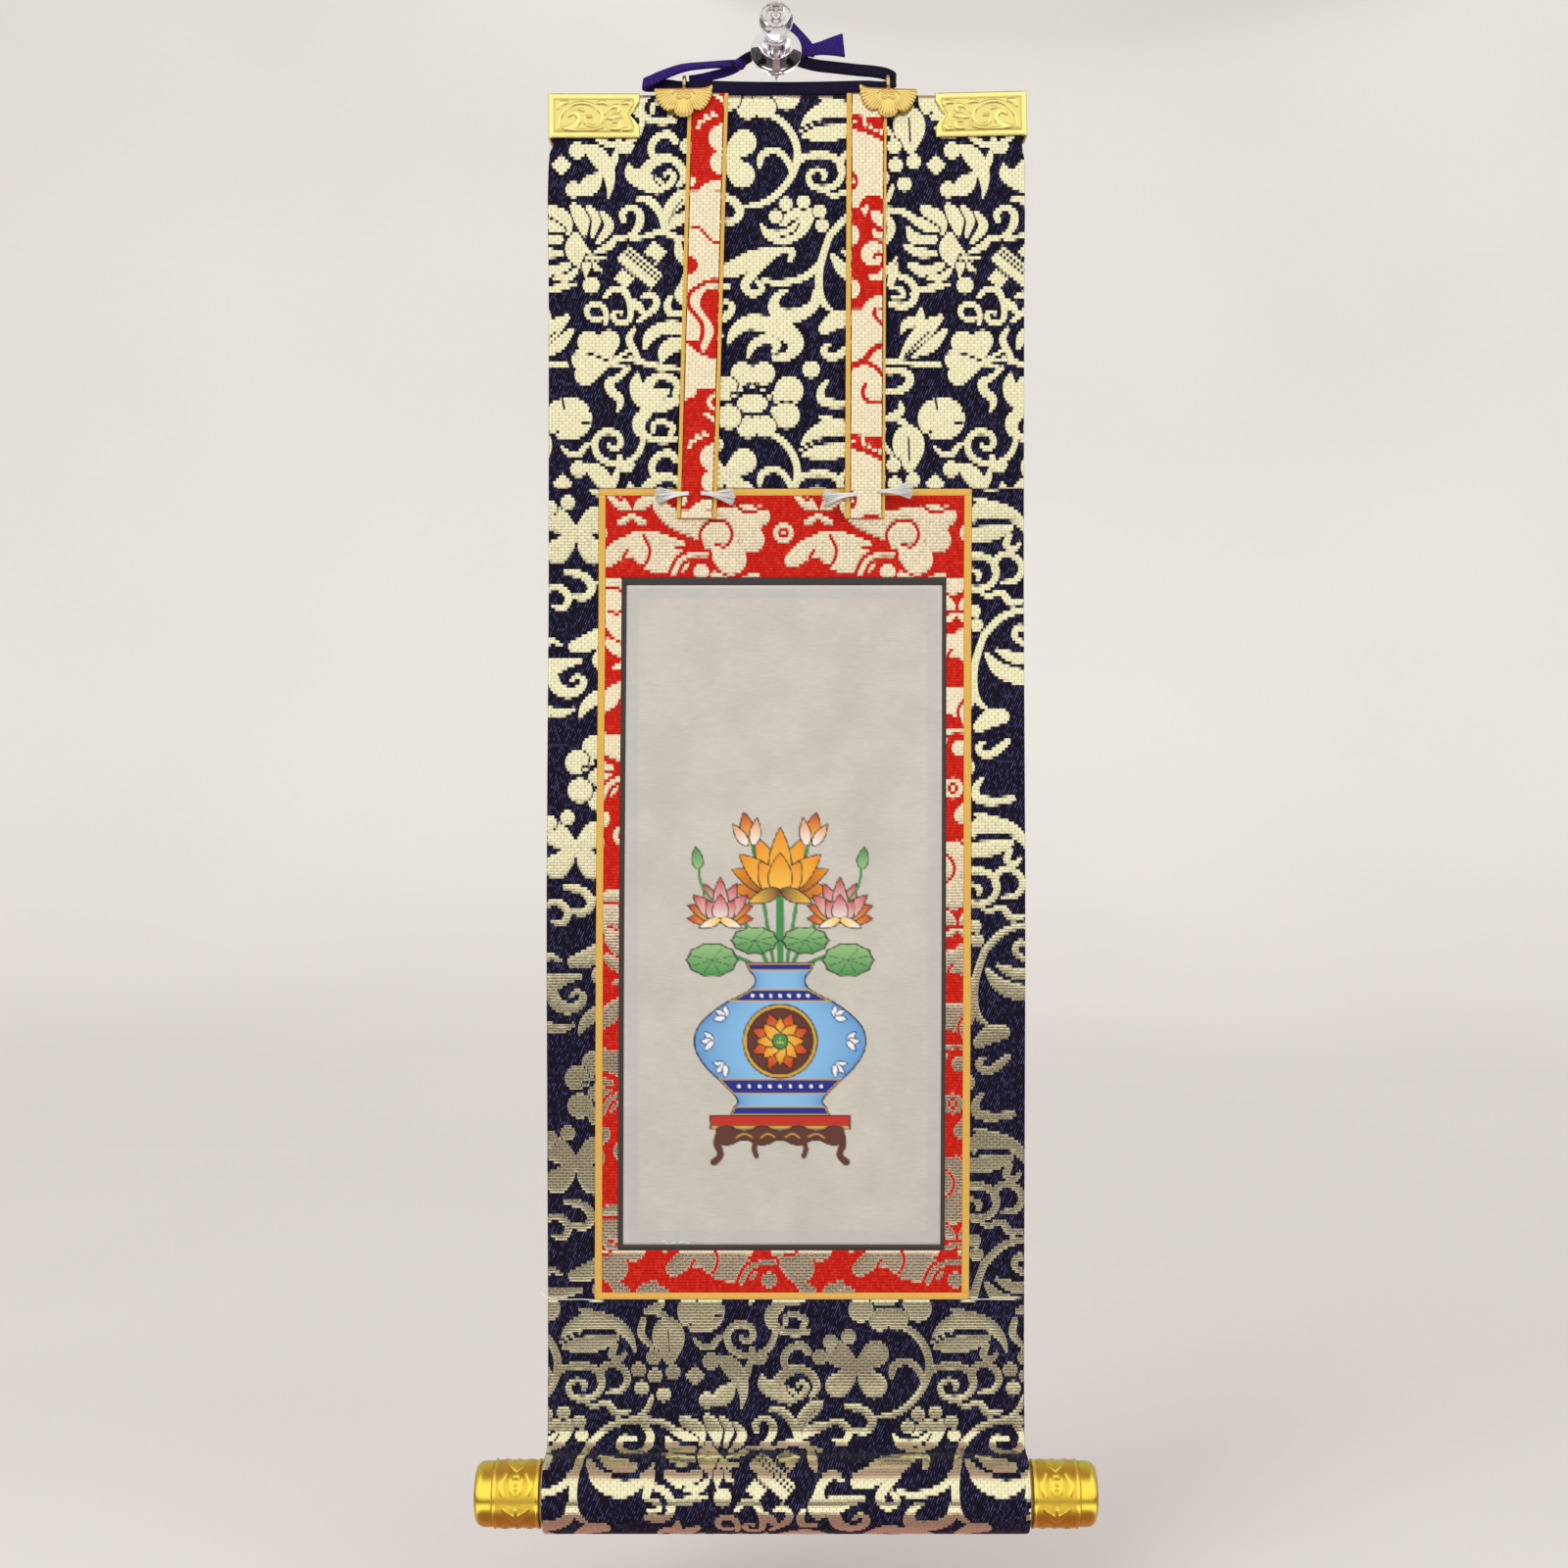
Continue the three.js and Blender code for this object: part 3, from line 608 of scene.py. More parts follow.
navy_chart.dot(5.7, 10.4, 1.6)
navy_chart.dot(4.94, 17.9, 1.55)
navy_chart.block(2.6, 13.2, (1.42,1.42), 45)
navy_chart.stroke([(20.4,14.2), (20.6,16), (21.8,17.2)], .35, cut=True)

CHRYSANTHEMUM = [
    [(4,26,1.2), (2.8,23.6,3.4), (.4,21.6,1.8)],
    [(5,21.2,1.6), (6.4,23.2,3), (7,26.4,1)],
    [(7.9,21.4,1.2), (9.3,23.4,1.8), (8.6,26.6,.9)],
    [(10.4,22.2,.8), (11.8,24.8,1.9), (9.6,28,.9)],
    [(13,27,.8), (11.9,28.6,1.6), (9.2,29.8,.7)],
    [(-2.8,25.2,.8), (-1.6,27.2,2.2), (2.2,27.4,1.6)],
    [(-1.6,23.2,.8), (.4,24.6,2), (2.8,25.6,1)],
    [(-3.2,28.8,1), (-.6,29.9,2), (2.4,30.2,1.2)],
    [(-2.2,32.4,1.4), (.6,33.6,2.4), (3.4,32.6,1.6), (4.6,31.6,.8)],
    [(1.2,34.8,.8), (3.6,34.8,1.6), (5.6,33.2,1)],
    [(5.3,26.8,1.6), (5.4,29.4,4.2), (7.6,32,3.6)],
    [(8,31.2,1.8), (11.2,30.8,.4)],
    [(8.4,32.2,1.6), (10.4,33.6,.5)],
    [(7.4,32.4,1.8), (7.2,34.4,.5)],
]
for petal in CHRYSANTHEMUM:      # each petal first clears a navy line round itself
    navy_chart.stroke([(x, y, wide + .7) for x, y, wide in petal], cut=True)
    navy_chart.stroke(petal)
print("petals of the chrysanthemum", len(CHRYSANTHEMUM))

# %% [markdown]
# Hooked vines and leaves fill the left of the repeat. A rolled scroll case is a turned block
# with a smaller one at each end, and thin cut lines are its bindings.

# %% Hooks, leaves and treasures on the left
HOOKS_AND_LEAVES = [
    [(14.6,23.7,1.2), (14.3,22.5,1.2), (15.9,21.4,1.2), (17.6,22.2,1.4), (17.7,24.3,1.6), (16.2,26.5,1.1),
     (13.4,27.3,.9)],
    [(16.2,27.3,.9), (18.9,26.8,1), (22,26,1.3), (25.1,27.1,1.2), (27,27.7,.9)],
    [(17.1,19.7,.6), (19.6,20,1.6), (21.7,22.5,1.4), (22.2,25.3,.6)],
    [(22.6,25,.6), (23.6,21.6,2.4), (26,19.1,2.6), (27.3,18.2,.5)],
    [(23,25.6,.6), (25.1,23.7,2.2), (27.6,22.8,1.6)],
    [(25.1,28,1.2), (25.4,30.2,1.8), (26,32,.5)],
    [(28,22.6,1), (30.6,22,1.4), (32.6,24,1.4), (31.4,26.2,1.2), (29.6,25.6,.8)],
    [(-2,38,.9), (-.5,37.2,1.1), (2.4,36.6,1.4), (5.4,35.9,.6)],
    [(10.4,42.6,.8), (9,42.9,.9), (7.6,42,1), (7.5,40.6,1.1), (8.9,39.9,1.1), (10.6,40.4,1.1),
     (11.2,42.2,1), (11,43.8,.7)],
    [(10.9,38.5,.9), (12.2,37.2,1.2), (14.6,37.3,1.4), (15.6,39.2,1.2), (15.9,41,1.2), (15.6,42.9,1.1),
     (13.7,43.5,1.1), (12.5,42.2,1), (13.1,41.3,.9), (14.2,41.6,.8)],
    [(18.3,38.5,1), (19.6,37.9,1.2), (21,39.2,1.3), (20.5,40.7,1.4), (18.9,41.9,1.2), (17.4,43.2,.9)],
    [(16.2,39.2,.8), (17.3,40.2,1.8), (18.3,41.3,.8)],
    [(26.2,35.6,1), (25.2,38,1.6), (26.4,40,1)],
    [(23.6,38.5,1), (23,40.1,1.4), (23.6,41.6,1.4), (25.7,41.6,1.2)],
    [(18.6,48.4,.8), (19.6,46,2.2), (22.4,44.4,2.4), (26,44.6,2.4), (28.6,46.6,1.4)],
    [(21.8,51,.6), (22.6,48.8,2.6), (25.2,47.2,3.2), (27.4,48.6,1.6)],
]
navy_chart.strokes(HOOKS_AND_LEAVES)
navy_chart.stroke([(23.2,24.4), (24.4,21.8), (26.2,19.6)], .3, cut=True)
navy_chart.stroke([(20.8,49.6), (21.8,47.2), (24.6,46), (27.6,46.8)], .35, cut=True)
navy_chart.dot(8.3, 36.2, 1.65)
for x, y, half in [(17.7, 32.7, (4.4, 1.76)), (20.6, 30, (1.7, 1.7)), (14.8, 34.8, (1.5, 1.5))]:
    navy_chart.block(x, y, half, -40)      # the scroll case and its two ends
for away in (.2, 1.0):
    across, down = away * math.sin(math.radians(40)), -away * math.cos(math.radians(40))
    navy_chart.block(17.7 + across, 32.7 + down, (4.4, .17), -40, cut=True)
for x, y in [(19.4, 30.9), (20.9, 31.7), (15.9, 34.2)]:
    navy_chart.block(x, y, (1.7, .17), -40, cut=True)
print("hooks and leaves on the left", len(HOOKS_AND_LEAVES))

# %% [markdown]
# A peony is a ring of round lobes about a flat heart. Each lobe clears a line of ground round
# itself, which parts it from the one before.

# %% Peonies, the heart flower and what grows below them
LOWER_LEFT = [
    [(68.2,50.2,.6), (70.6,47.2,2.6), (73.2,44.6,3.2), (76,42.4,1.2)],
    [(68.4,45.2,.6), (69.4,43.6,1.8), (71.8,42.8,2), (72.2,40.6,.5)],
    [(70.6,50,.6), (74.2,47.8,2.4), (76.8,45,1.2)],
    [(12.1,50.8,.8), (15.6,48.8,.7)], [(12.3,51,.8), (15.8,50.4,.7)],
    [(12.2,51.4,.8), (15.2,52.2,.7)],
    [(15.8,50.4,1), (20.2,51.6,1.2), (25.4,52.4,1)],
    [(64.6,50.6,1.2), (68,51,1), (72,51.4,1), (75.8,51.6,1)],
    [(16.6,44.6,.8), (15.6,46.6,1.4), (17,49.5,1.2), (17.6,50.8,.8)],
    [(15.6,52.1,.8), (13.7,53.8,1.2), (11.7,55.1,1.8), (12.2,56.7,1.8), (13.7,58,1.6), (13.8,59.3,1.2),
     (13.2,60.6,.4)],
    [(17.2,53.2,.6), (17,55.6,2.6), (18,58,3.2), (21,59.6,2.6), (24.4,58.6,2)],
    [(19.4,53.8,.5), (19,56,1.8), (20.2,57.6,2.8), (22,57,2.2)],
    [(19.2,56.4,1.4), (20.6,54,1.6), (23.2,53.9,1.6), (25,55.4,1.4), (24.6,57.2,1.4)],
    [(18.9,60.9,2.2), (17.6,62.2,2.6), (17.6,64.2,2.2), (19.2,65.5,1.4), (22.2,66.2,1.3),
     (24.5,65.8,1.2)],
    [(20.2,64.2,1), (20.4,62.9,1), (22.2,62.6,1.1), (24.1,63.6,1.2), (23.6,64.9,1.1)],
]
navy_chart.strokes(LOWER_LEFT)
HEART_LOBES = [
    [(7.8,47.2,4.4), (11.3,50,.9)], [(11.7,46.9,4.2), (11.7,50.2,.9)],
    [(6.5,50.5,4.2), (11.4,51.1,.9)], [(7.1,53.4,4.2), (11.4,51.6,.9)],
]
navy_chart.strokes(HEART_LOBES)
navy_chart.stroke([(9.6,48.6,3), (10.8,49.6,1.4)])
navy_chart.stroke([(8,52,3.4), (10.4,51.5,1)])
navy_chart.stroke([(3.6,49.4), (7.2,49.2), (11.6,50.8)], .4, cut=True)
navy_chart.stroke([(69,49.8), (71.8,47), (74,45)], .35, cut=True)
navy_chart.dot(22.8, 56.6, .7)

navy_chart.dot(3.8, 61.9, 4.6, flat=.92)      # a round flower with a scalloped rim
navy_chart.dots([(-.6,59.6), (1.8,57.7), (5.9,57.6), (8.2,60.3), (8.1,64.4), (.0,65.2)], .55, cut=True)
navy_chart.strokes([[(2.6,58), (3,60.2)], [(8.6,62.4), (6.4,62.9)], [(.4,65.6), (2,64.2)]], .45, cut=True)

PEONY = [(37.5,53.2,2.2), (41.7,53.2,2.2), (46.6,56.5,2.8), (46.1,61.3,2.6), (38.6,63.6,2.1),
    (42,63.5,2.1), (34.9,61.6,2.4), (34.4,56.2,2.4)]
for x, y, radius in PEONY:
    navy_chart.dot(x, y, radius + .32, cut=True)
    navy_chart.dot(x, y, radius)
navy_chart.strokes([
    [(39.6,53.6,3.6), (39.6,54.6,1.6)], [(44.2,57.6,2.4), (46,57,2.4)], [(43.9,60.4,1.8), (45.6,61,2.2)],
    [(40.3,62.4,2), (40.3,63.4,2.6)], [(36.4,60.4,1.6), (35.2,61.2,2.2)],
    [(36,57.4,1.6), (34.9,56.8,2.2)]])
navy_chart.dot(39.5, 59.0, 3.35, cut=True, flat=.64)
navy_chart.dot(39.5, 59.0, 3.0, flat=.62)
navy_chart.dots([(35.9,57.5), (37.2,56.2), (39.5,55.7), (41.5,56.4), (42.8,57.7)], .5, clear=.85)
navy_chart.dot(50.9, 52.4, 1.7)
print("lobes of the peony", len(PEONY))

# %% [markdown]
# Here long vines end in spirals, and each grape is a dot that first clears its own rim. The
# vines are drawn before the grapes, so that the grapes lie on top.

# %% Vines, spirals and grapes on the right
UPPER_RIGHT = [
    [(69.2,2.4,.6), (69.8,5.4,6.2), (70,8.6,3.6), (70.2,11.2,.4)],
    [(67.9,1.2,.8), (69,1.4,1.2), (69.4,2.8,1)],
    [(18.2,5.2,1.1), (17.2,7.5,1.2), (14.9,9.1,1.2), (11.6,9.1,1.3), (9.35,7.5,1.3), (9,4.9,1.3),
     (10.6,3.2,1.3), (13.3,3.6,1.2), (13.9,5.5,1.2), (12.6,6.5,1.1), (11.6,5.8,.9)],
    [(8.7,5.2,.8), (7.1,5.9,1), (5.8,7.5,1.3), (4.1,7.5,1.2), (2.5,6.2,.6)],
    [(13.7,8.1,1.2), (14,10.1,1.2), (15.3,10.6,1.2), (16.3,9.4,.9)],
    [(32.2,19,1.2), (35.8,20,1.6), (37.1,22.3,1.6), (35.8,23.9,1.4), (33.5,23.9,1)],
    [(41.9,3.2,.9), (44.6,4.4,1.3), (47,7,1.4), (48.2,10.4,1.4), (47.6,14.2,1.4), (45.4,17.6,1.3),
     (42.2,20.2,1.3), (37.6,21.3,.8)],
    [(40.9,13.2,1), (41.3,11.4,1.4), (43.3,10.4,1.4), (45,10.9,1.3), (46.4,12.6,1.2), (47.2,14.6,1)],
    [(47.4,13.5,1.3), (49.4,11.8,1.3), (53,11.2,1.4), (55.9,12.2,1.4), (56.9,14.4,1.3), (55.9,16.7,1.3),
     (53.3,17.7,1.2), (51,17.1,1.2), (50.4,15.1,1.1), (52,14.1,1), (53.6,14.8,1), (53.3,15.7,.9)],
    [(56.4,13.8,1.2), (57.1,11.6,1.3), (59.1,10.9,1.3), (61.3,12.2,1.3), (61.8,14.2,1.3), (60.4,16.1,1.2),
     (58.1,16.5,1)],
    [(53.6,18,1), (55.1,19.1,.9), (57.8,18.4,1.3), (59.7,20.4,1.4), (62.3,20.1,.6)],
    [(48.8,6.6,.6), (51.2,4,2.8), (55,2.4,3.4), (59.4,3.2,2.8), (62.2,5.6,1.6), (63.4,8.6,.4)],
    [(49.4,7.6,.8), (52.6,7.2,3), (56.4,6.8,2.8), (59.6,5.8,1.2)],
    [(52.6,.1,.6), (54.4,1,1.8), (56.6,2.6,1.6)],
    [(59.4,7.2,1.2), (58.8,9.2,1.4), (60.4,10,1), (61.4,8.8,.8)],
    [(66.6,17.4,.9), (65.6,19.7,1.1), (63.6,21.4,1)],
    [(64.9,2.4,1.2), (64.5,5,1.4), (66.6,7.6,.8)],
]
navy_chart.strokes(UPPER_RIGHT)
navy_chart.strokes([
    [(37.8,8.9,5), (34.6,11.6,2.4)], [(37.5,15.1,5), (34.6,12.4,2.4)], [(30.4,8.9,4.8), (33.6,11.6,2.4)],
    [(30.4,15.1,4.8), (33.6,12.4,2.4)]])
navy_chart.stroke([(69.8,4.4), (70,8.8)], .4, cut=True)
navy_chart.stroke([(48.7,6.3), (51.4,5), (54.3,4.3), (57.2,4.3), (60.2,4.6)], .45, cut=True)
navy_chart.stroke([(34.1,13.4), (34.1,17)], .6, cut=True)
navy_chart.stroke([(34.1,6.6), (34.1,9.6)], .6, cut=True)
navy_chart.dots([(66.9,9.6), (64,12.05), (67.2,13.2), (70.7,12.5), (64.6,15.6), (68.9,16.8), (32.5,5.6),
    (29,6.6), (26.9,9.6)], 1.42, clear=1.75)
print("vines and curls on the right", len(UPPER_RIGHT))

# %% [markdown]
# The main stem climbs through the middle, past a crescent and broad clouds. These strokes are
# the widest, because they are what is seen from across a room.

# %% The crescent, the main stem and the clouds in the middle
MIDDLE = [
    [(41.2,24.6,.5), (42.6,26.4,1.8), (45.6,27,2.8), (48.8,25.2,3), (50.6,22.6,2.2)],
    [(45.4,24.4,1.4), (47,22.8,1.8), (49.4,22.2,2)],
    [(54.5,26.6,1.3), (53.3,30.1,1.4), (52.5,33.4,1.5), (52.5,37.3,1.5), (53.3,39.6,1.3), (55,41.2,.7)],
    [(54.5,26.6,1.4), (57.8,23.3,1.4), (61,22,1.3), (64.9,21.7,1.3), (68.9,22.3,1.3), (71.8,24.3,1.6),
     (73.4,25.2,1.8)],
    [(64.9,22.3,1.2), (66.4,25,1.6), (65.3,27.6,1.4), (62.7,28.4,1.2), (60.4,26.9,1.2), (61,25.3,1.3),
     (63.3,25.5,1.1)],
    [(52.3,32.4,1.3), (50,34.4,1.4), (46.8,35.5,1.3), (43.8,35.7,1.2), (41.6,35.2,.8)],
    [(51.8,37.6,1.3), (51.4,40,2), (48.6,41.8,2.6), (45.4,42.2,3), (43.6,40.4,2.2), (44.4,38.2,1.4),
     (46.2,37.2,.6)],
    [(57,29.6,.8), (60,31,2.2), (63.6,31.4,1.6)],
    [(55,30.6,1), (57.6,33.4,3), (61.6,34.8,3), (65.4,33.4,1.6), (67.4,31,.5)],
    [(33.6,33.6,2.2), (36.4,32.8,3.4), (39.6,31,3), (43.2,29.6,1.4)],
    [(46.8,31.4,1), (47.2,29.8,1.4), (44.6,29.6,1.6), (42.2,31.6,1.5), (39.4,34.2,1.8), (38,36.4,1.6),
     (39.6,37.9,1.4), (41.4,36.8,1.2), (40.4,35.4,.9)],
    [(34.8,47.4,.6), (36,45.2,2), (38.6,43.4,2.8), (41.6,43.6,3.2), (45.4,44.8,3.8), (48,47.4,3),
     (46.4,49.8,1.8), (43.8,50.2,1.2)],
    [(38.6,50.2,.6), (39.6,47.8,1.6), (42,46.6,1.8), (44.4,47.6,1.4), (43.6,49,1)],
    [(64,52.4,1.2), (66.1,52.8,1.4), (68,52.6,1.4), (70,53.8,1.6), (69.7,55.4,1.6), (68,56.5,1.5),
     (66,56.7,1.4), (63.5,56,1.2)],
    [(68.2,59,.8), (68.4,60.3,1.4), (66.7,61.6,1.8), (65.7,61.9,1.4)],
    [(54,54.7,.8), (52.8,56.4,1.4), (53,58.3,1.8), (55,59,1.8), (57.2,59,1.6), (60,58.6,1.2)],
    [(54.6,47.5,.6), (53.3,48.5,1.2), (54,49.8,1.5), (55.9,49.8,1.6), (57.4,48.8,1.6), (59,47.4,1.2)],
    [(53.4,44.6,2.2), (55.6,43,3.4), (58,42.6,2.8)],
    [(67.6,32.2,.4), (66.8,34,1.6), (66.2,36,1.4)],
    [(31.2,33.4,.6), (29.3,32.5,1.2), (27.4,33.6,1.6), (26.6,35.2,1.8), (26.6,37.2,2.6)],
    [(26.6,38.4,2.6), (29.4,37.6,3.4), (32,36.8,2.2), (35,36.4,.8)],
    [(29.4,39.6,2.4), (30.4,41.6,2.4), (32.6,42.6,2.2), (34.9,41.8,1.6), (35.6,40.2,1.2), (34.2,39.4,.9),
     (33.2,40.2,.8)],
    [(29,46.2,1.8), (31.4,46.6,1.4), (33.6,45.8,.8)],
    [(68,34.4,1.2), (70,35.4,1.4), (71.1,37.3,1.4), (70.6,39.3,1.4), (68.7,40.3,1.4), (66.4,39.9,1.2)],
    [(66.4,36.7,.9), (68.3,37,1), (68.7,38.3,1), (66.7,38.6,.9)],
]
navy_chart.strokes(MIDDLE)
navy_chart.stroke([(48.6,24.4), (47.6,26), (45,27)], .4, cut=True)
navy_chart.stroke([(56.4,31), (59,32.4), (63,32.8), (66.6,31.6)], .35, cut=True)
navy_chart.dots([(44,23), (46,20.6), (49.4,20.2), (52.5,22), (53,24.7)], 1.32, clear=1.6)
print("navy repeat: gold covers", round(float((navy_chart.edge < 0).mean()), 2))

# %% [markdown]
# The red brocade of the inner frame is a coarser chart: bulging clouds with spirals inside
# them, small crossed buds and rings. Its side bands take another part of the same repeat.

# %% Clouds of the red brocade
red_chart = Chart(36.3, TALL)


def cloud_band(across, down):
    """One band of clouds, set down anywhere on the tile."""
    def moved(*many):
        return [[(pin[0] + across, pin[1] + down, *pin[2:]) for pin in pins] for pins in many]

    red_chart.strokes(moved([(1.2,.2,1.6), (3,1.6,2.4), (4.6,2.6,.8)], [(9.2,.4,1.6), (7.2,1.6,2.4),
        (5.8,2.6,.8)], [(4.8,4,.8), (3.4,5,1.4), (2.4,5.2,.6)], [(5.4,4,.8), (6.8,5,1.4), (7.8,5.2,.6)],
        [(10.6,2.2,2.8), (12.8,4.2,3.6), (17,5.6,5), (22,6,7), (27.4,5,6.5)], [(22,9,6), (24.4,12.4,6)],
        [(0,12.6,3), (3,10.4,4), (6.4,10,5), (9.4,11.8,6), (14,12.8,4.6)], [(5.4,7.4,.8), (8.6,7.6,1.6),
        (12,8.8,2), (15,9.4,1)]))
    for (x, y, radius), in moved([(28.4, 8.6, 2.5)], [(30.0, 4.0, 2.0)]):
        red_chart.dot(x, y, radius)
    red_chart.strokes(moved([(18.8,10.4), (18.4,7.2), (20.4,5), (23.4,5.2), (24.6,7.6), (23.4,9.8),
        (21.4,9.6)], [(24.6,1), (27.2,3.2), (31.2,2.4)], [(7.4,7.9), (8.6,10.6), (7.6,13.4), (5,14),
        (3.4,12.2), (4.2,10.8)]), .62, cut=True)
    arch = moved([(13.2, 15.2), (14.6, 12.6), (17.2, 11.4), (19.6, 11.4)])
    red_chart.strokes(arch, 2.4, cut=True)
    red_chart.strokes(arch, 1.0)
    bead, (ring,) = moved([(18.6, 14.8)], [(34.6, 7.3)])
    red_chart.dots(bead, 1.5)
    for radius, cut in [(2.0, False), (1.05, True), (.45, False)]:
        red_chart.dot(*ring, radius, cut)


for across, down in [(0.0, 0.0), (20.0, 15.3), (7.0, 30.6), (26.0, 45.9)]:
    cloud_band(across, down)
print("red repeat: gold covers", round(float((red_chart.edge < 0).mean()), 2))

# %% [markdown]
# The two hanging strips are narrow cuts of the same red cloth, so each shows its own slice of
# the clouds. They are charted as what the slice shows: long gold stretches broken by red arcs,
# beads and scalloped lobes. Here the strokes of the ground are cut out of a gold tile.

# %% Slices on the hanging strips
BEAD = 0.44          # radius of a small gold spot
left_chart, right_chart = Chart(20.0, TALL), Chart(20.0, TALL)
for chart in (left_chart, right_chart):
    chart.edge[:] = -FAR

left_chart.block(3.2, 9.2, (4,9.6), cut=True)
left_chart.block(3.2, 59.4, (4,2.6), cut=True)
left_chart.stroke([(6.8,17.4), (4.6,17.8), (3,18.6), (2.2,19.6)], 2.0)
left_chart.stroke([(-.4,57.6), (1,57.2)], 2.6)
for x, y, radius in [(5.9,8.6,2.6), (6,13.3,2.3), (.1,16.9,.95)]:
    left_chart.dot(x, y, radius)
left_chart.dots([(1.2,6.5), (1.5,5.7), (2.1,5.4), (2.6,4.6), (3.2,4.8), (3.9,4), (4.5,4.3), (5.4,39.5),
    (4.9,40.5), (5.7,40.4), (4.4,41.2), (5.4,41.3), (5,42), (5.8,42)], BEAD)
left_chart.stroke([(6.3,57.6), (4.7,58.9), (5,60), (6.3,60.8)], .8)
left_chart.stroke([(4.1,61.5), (5.2,62.2), (6.2,63.1)], .8)
left_chart.stroke([(-.2,25.4), (2,25.9), (3.2,27.1), (4.6,28.4), (6.6,29)], .5, cut=True)
left_chart.dot(.3, 33.0, 1.6, cut=True)
left_chart.stroke([(5.6,38.4), (4.4,39.4), (4.2,40.8), (5.2,43.4), (6.2,46), (5.6,48.8)], 3.4, cut=True)
left_chart.stroke([(2,48.6), (3.6,49.6), (6.6,50.4)], 1.5, cut=True)
left_chart.stroke([(6.6,36), (4.3,36), (2.2,37), (.6,38.2), (.1,39.9), (.5,41.1), (1.5,42.3), (2.9,44.2),
    (3.1,46.2), (2.6,47.7), (1.2,48), (-.4,47.5)], .85, cut=True)
left_chart.stroke([(6.6,36.8), (4.6,36.9), (2.5,37.9), (1.5,39.3), (1.7,40.5), (2.7,42.2), (4,43.9),
    (4.8,45.6), (4.3,47.1), (3.4,49)], 1.05)

right_chart.stroke([(-.4,5.2,2.2), (3,6.3,3.6), (6.8,7.2,4.4)], cut=True)
right_chart.dot(0, 16.9, 1.15, flat=1.5, cut=True)
right_chart.block(3.2, 31.6, (4.2,9.8), cut=True)
right_chart.stroke([(4,20.4,1.4), (4,22.2,5.4)], cut=True)
right_chart.dots([(.4,5.5), (2.3,5.2), (2.5,6.2), (3.5,6.5), (4.5,7.2), (5.6,7.5), (2.3,7.9), (3.6,8.5),
    (.2,16.9), (2.1,22.4), (2.8,22), (2.5,23)], BEAD)
for x, y, radius, flat in [(-.1,27.2,1.5,1.35), (0,37.5,1.6,1.2), (4.1,30.8,2.35,1)]:
    right_chart.dot(x, y, radius, flat=flat)
right_chart.strokes([
    [(4.2,23,1.2), (5,23.9,2.2), (6.4,25.2,1.6)], [(4.3,26.6,.9), (4.8,27.3,1.2), (6.6,27.4,1.2)],
    [(3.6,35.2,.8), (5.2,35.2,1.3), (6.6,33.8,1.4)],
    [(7,40,2.4), (4.9,40.1,2.4), (3.6,41,2.4), (3,42.4,2.4)]])
for wide, pins in [
        (.75, [(4.3, 31.3), (5.2, 30.7), (6.1, 31.5), (5.8, 32.8), (4.6, 33.7), (3.2, 33.9)]),
        (.7, [(4.2, 42.3), (4.5, 41.5), (4.5, 42.6), (5.2, 43.6), (6.4, 44.6)]),
        (1.2, [(5.6, 48.3), (3.9, 49.4), (2.6, 51.1), (-.4, 52.6)]),
        (.85, [(2.6, 51.7), (4.3, 52.3), (5.5, 53.4), (6.8, 55.2)]),
        (.8, [(2.7, 56.0), (2.2, 57.2), (2.6, 58.6), (3.7, 59.2), (6.2, 59.1)])]:
    right_chart.stroke(pins, wide, cut=True)
print("gold spots are", 2 * BEAD, "mm across")

# %% [markdown]
# ## What gold thread and navy silk look like
#
# Seen close, the figure is a brick wall of floats. Each float is one weft of gilt paper strip,
# 1.3 mm long, and a fine warp ties it down at both ends, half a brick later in each row. The
# ground is a steep twill. Threads are far finer than the mesh, so the finish tilts the surface
# normal instead: each float is a low half-round, and its tilt is the slope of that round.
# The tilt is worked out, not taken from a bump, so it doesn't shimmer at small sizes.

# %% Finish of the brocades
FLOAT = 1.3          # length of one gold float
TWILL = 0.49         # from one twill line to the next


def lean(across, down):
    """The surface normal tilted by two slopes: along X, and up the cloth."""
    normal = Wire.node("NewGeometry", out="Normal")
    upward = vector("CROSS_PRODUCT", normal, (1.0, 0.0, 0.0))
    tilt = Wire.node("VectorMath", {"operation": "SCALE"}, {0: upward, "Scale": down})
    tilt = vector("ADD", tilt, flat_point(across))
    return vector("NORMALIZE", vector("ADD", normal, tilt))


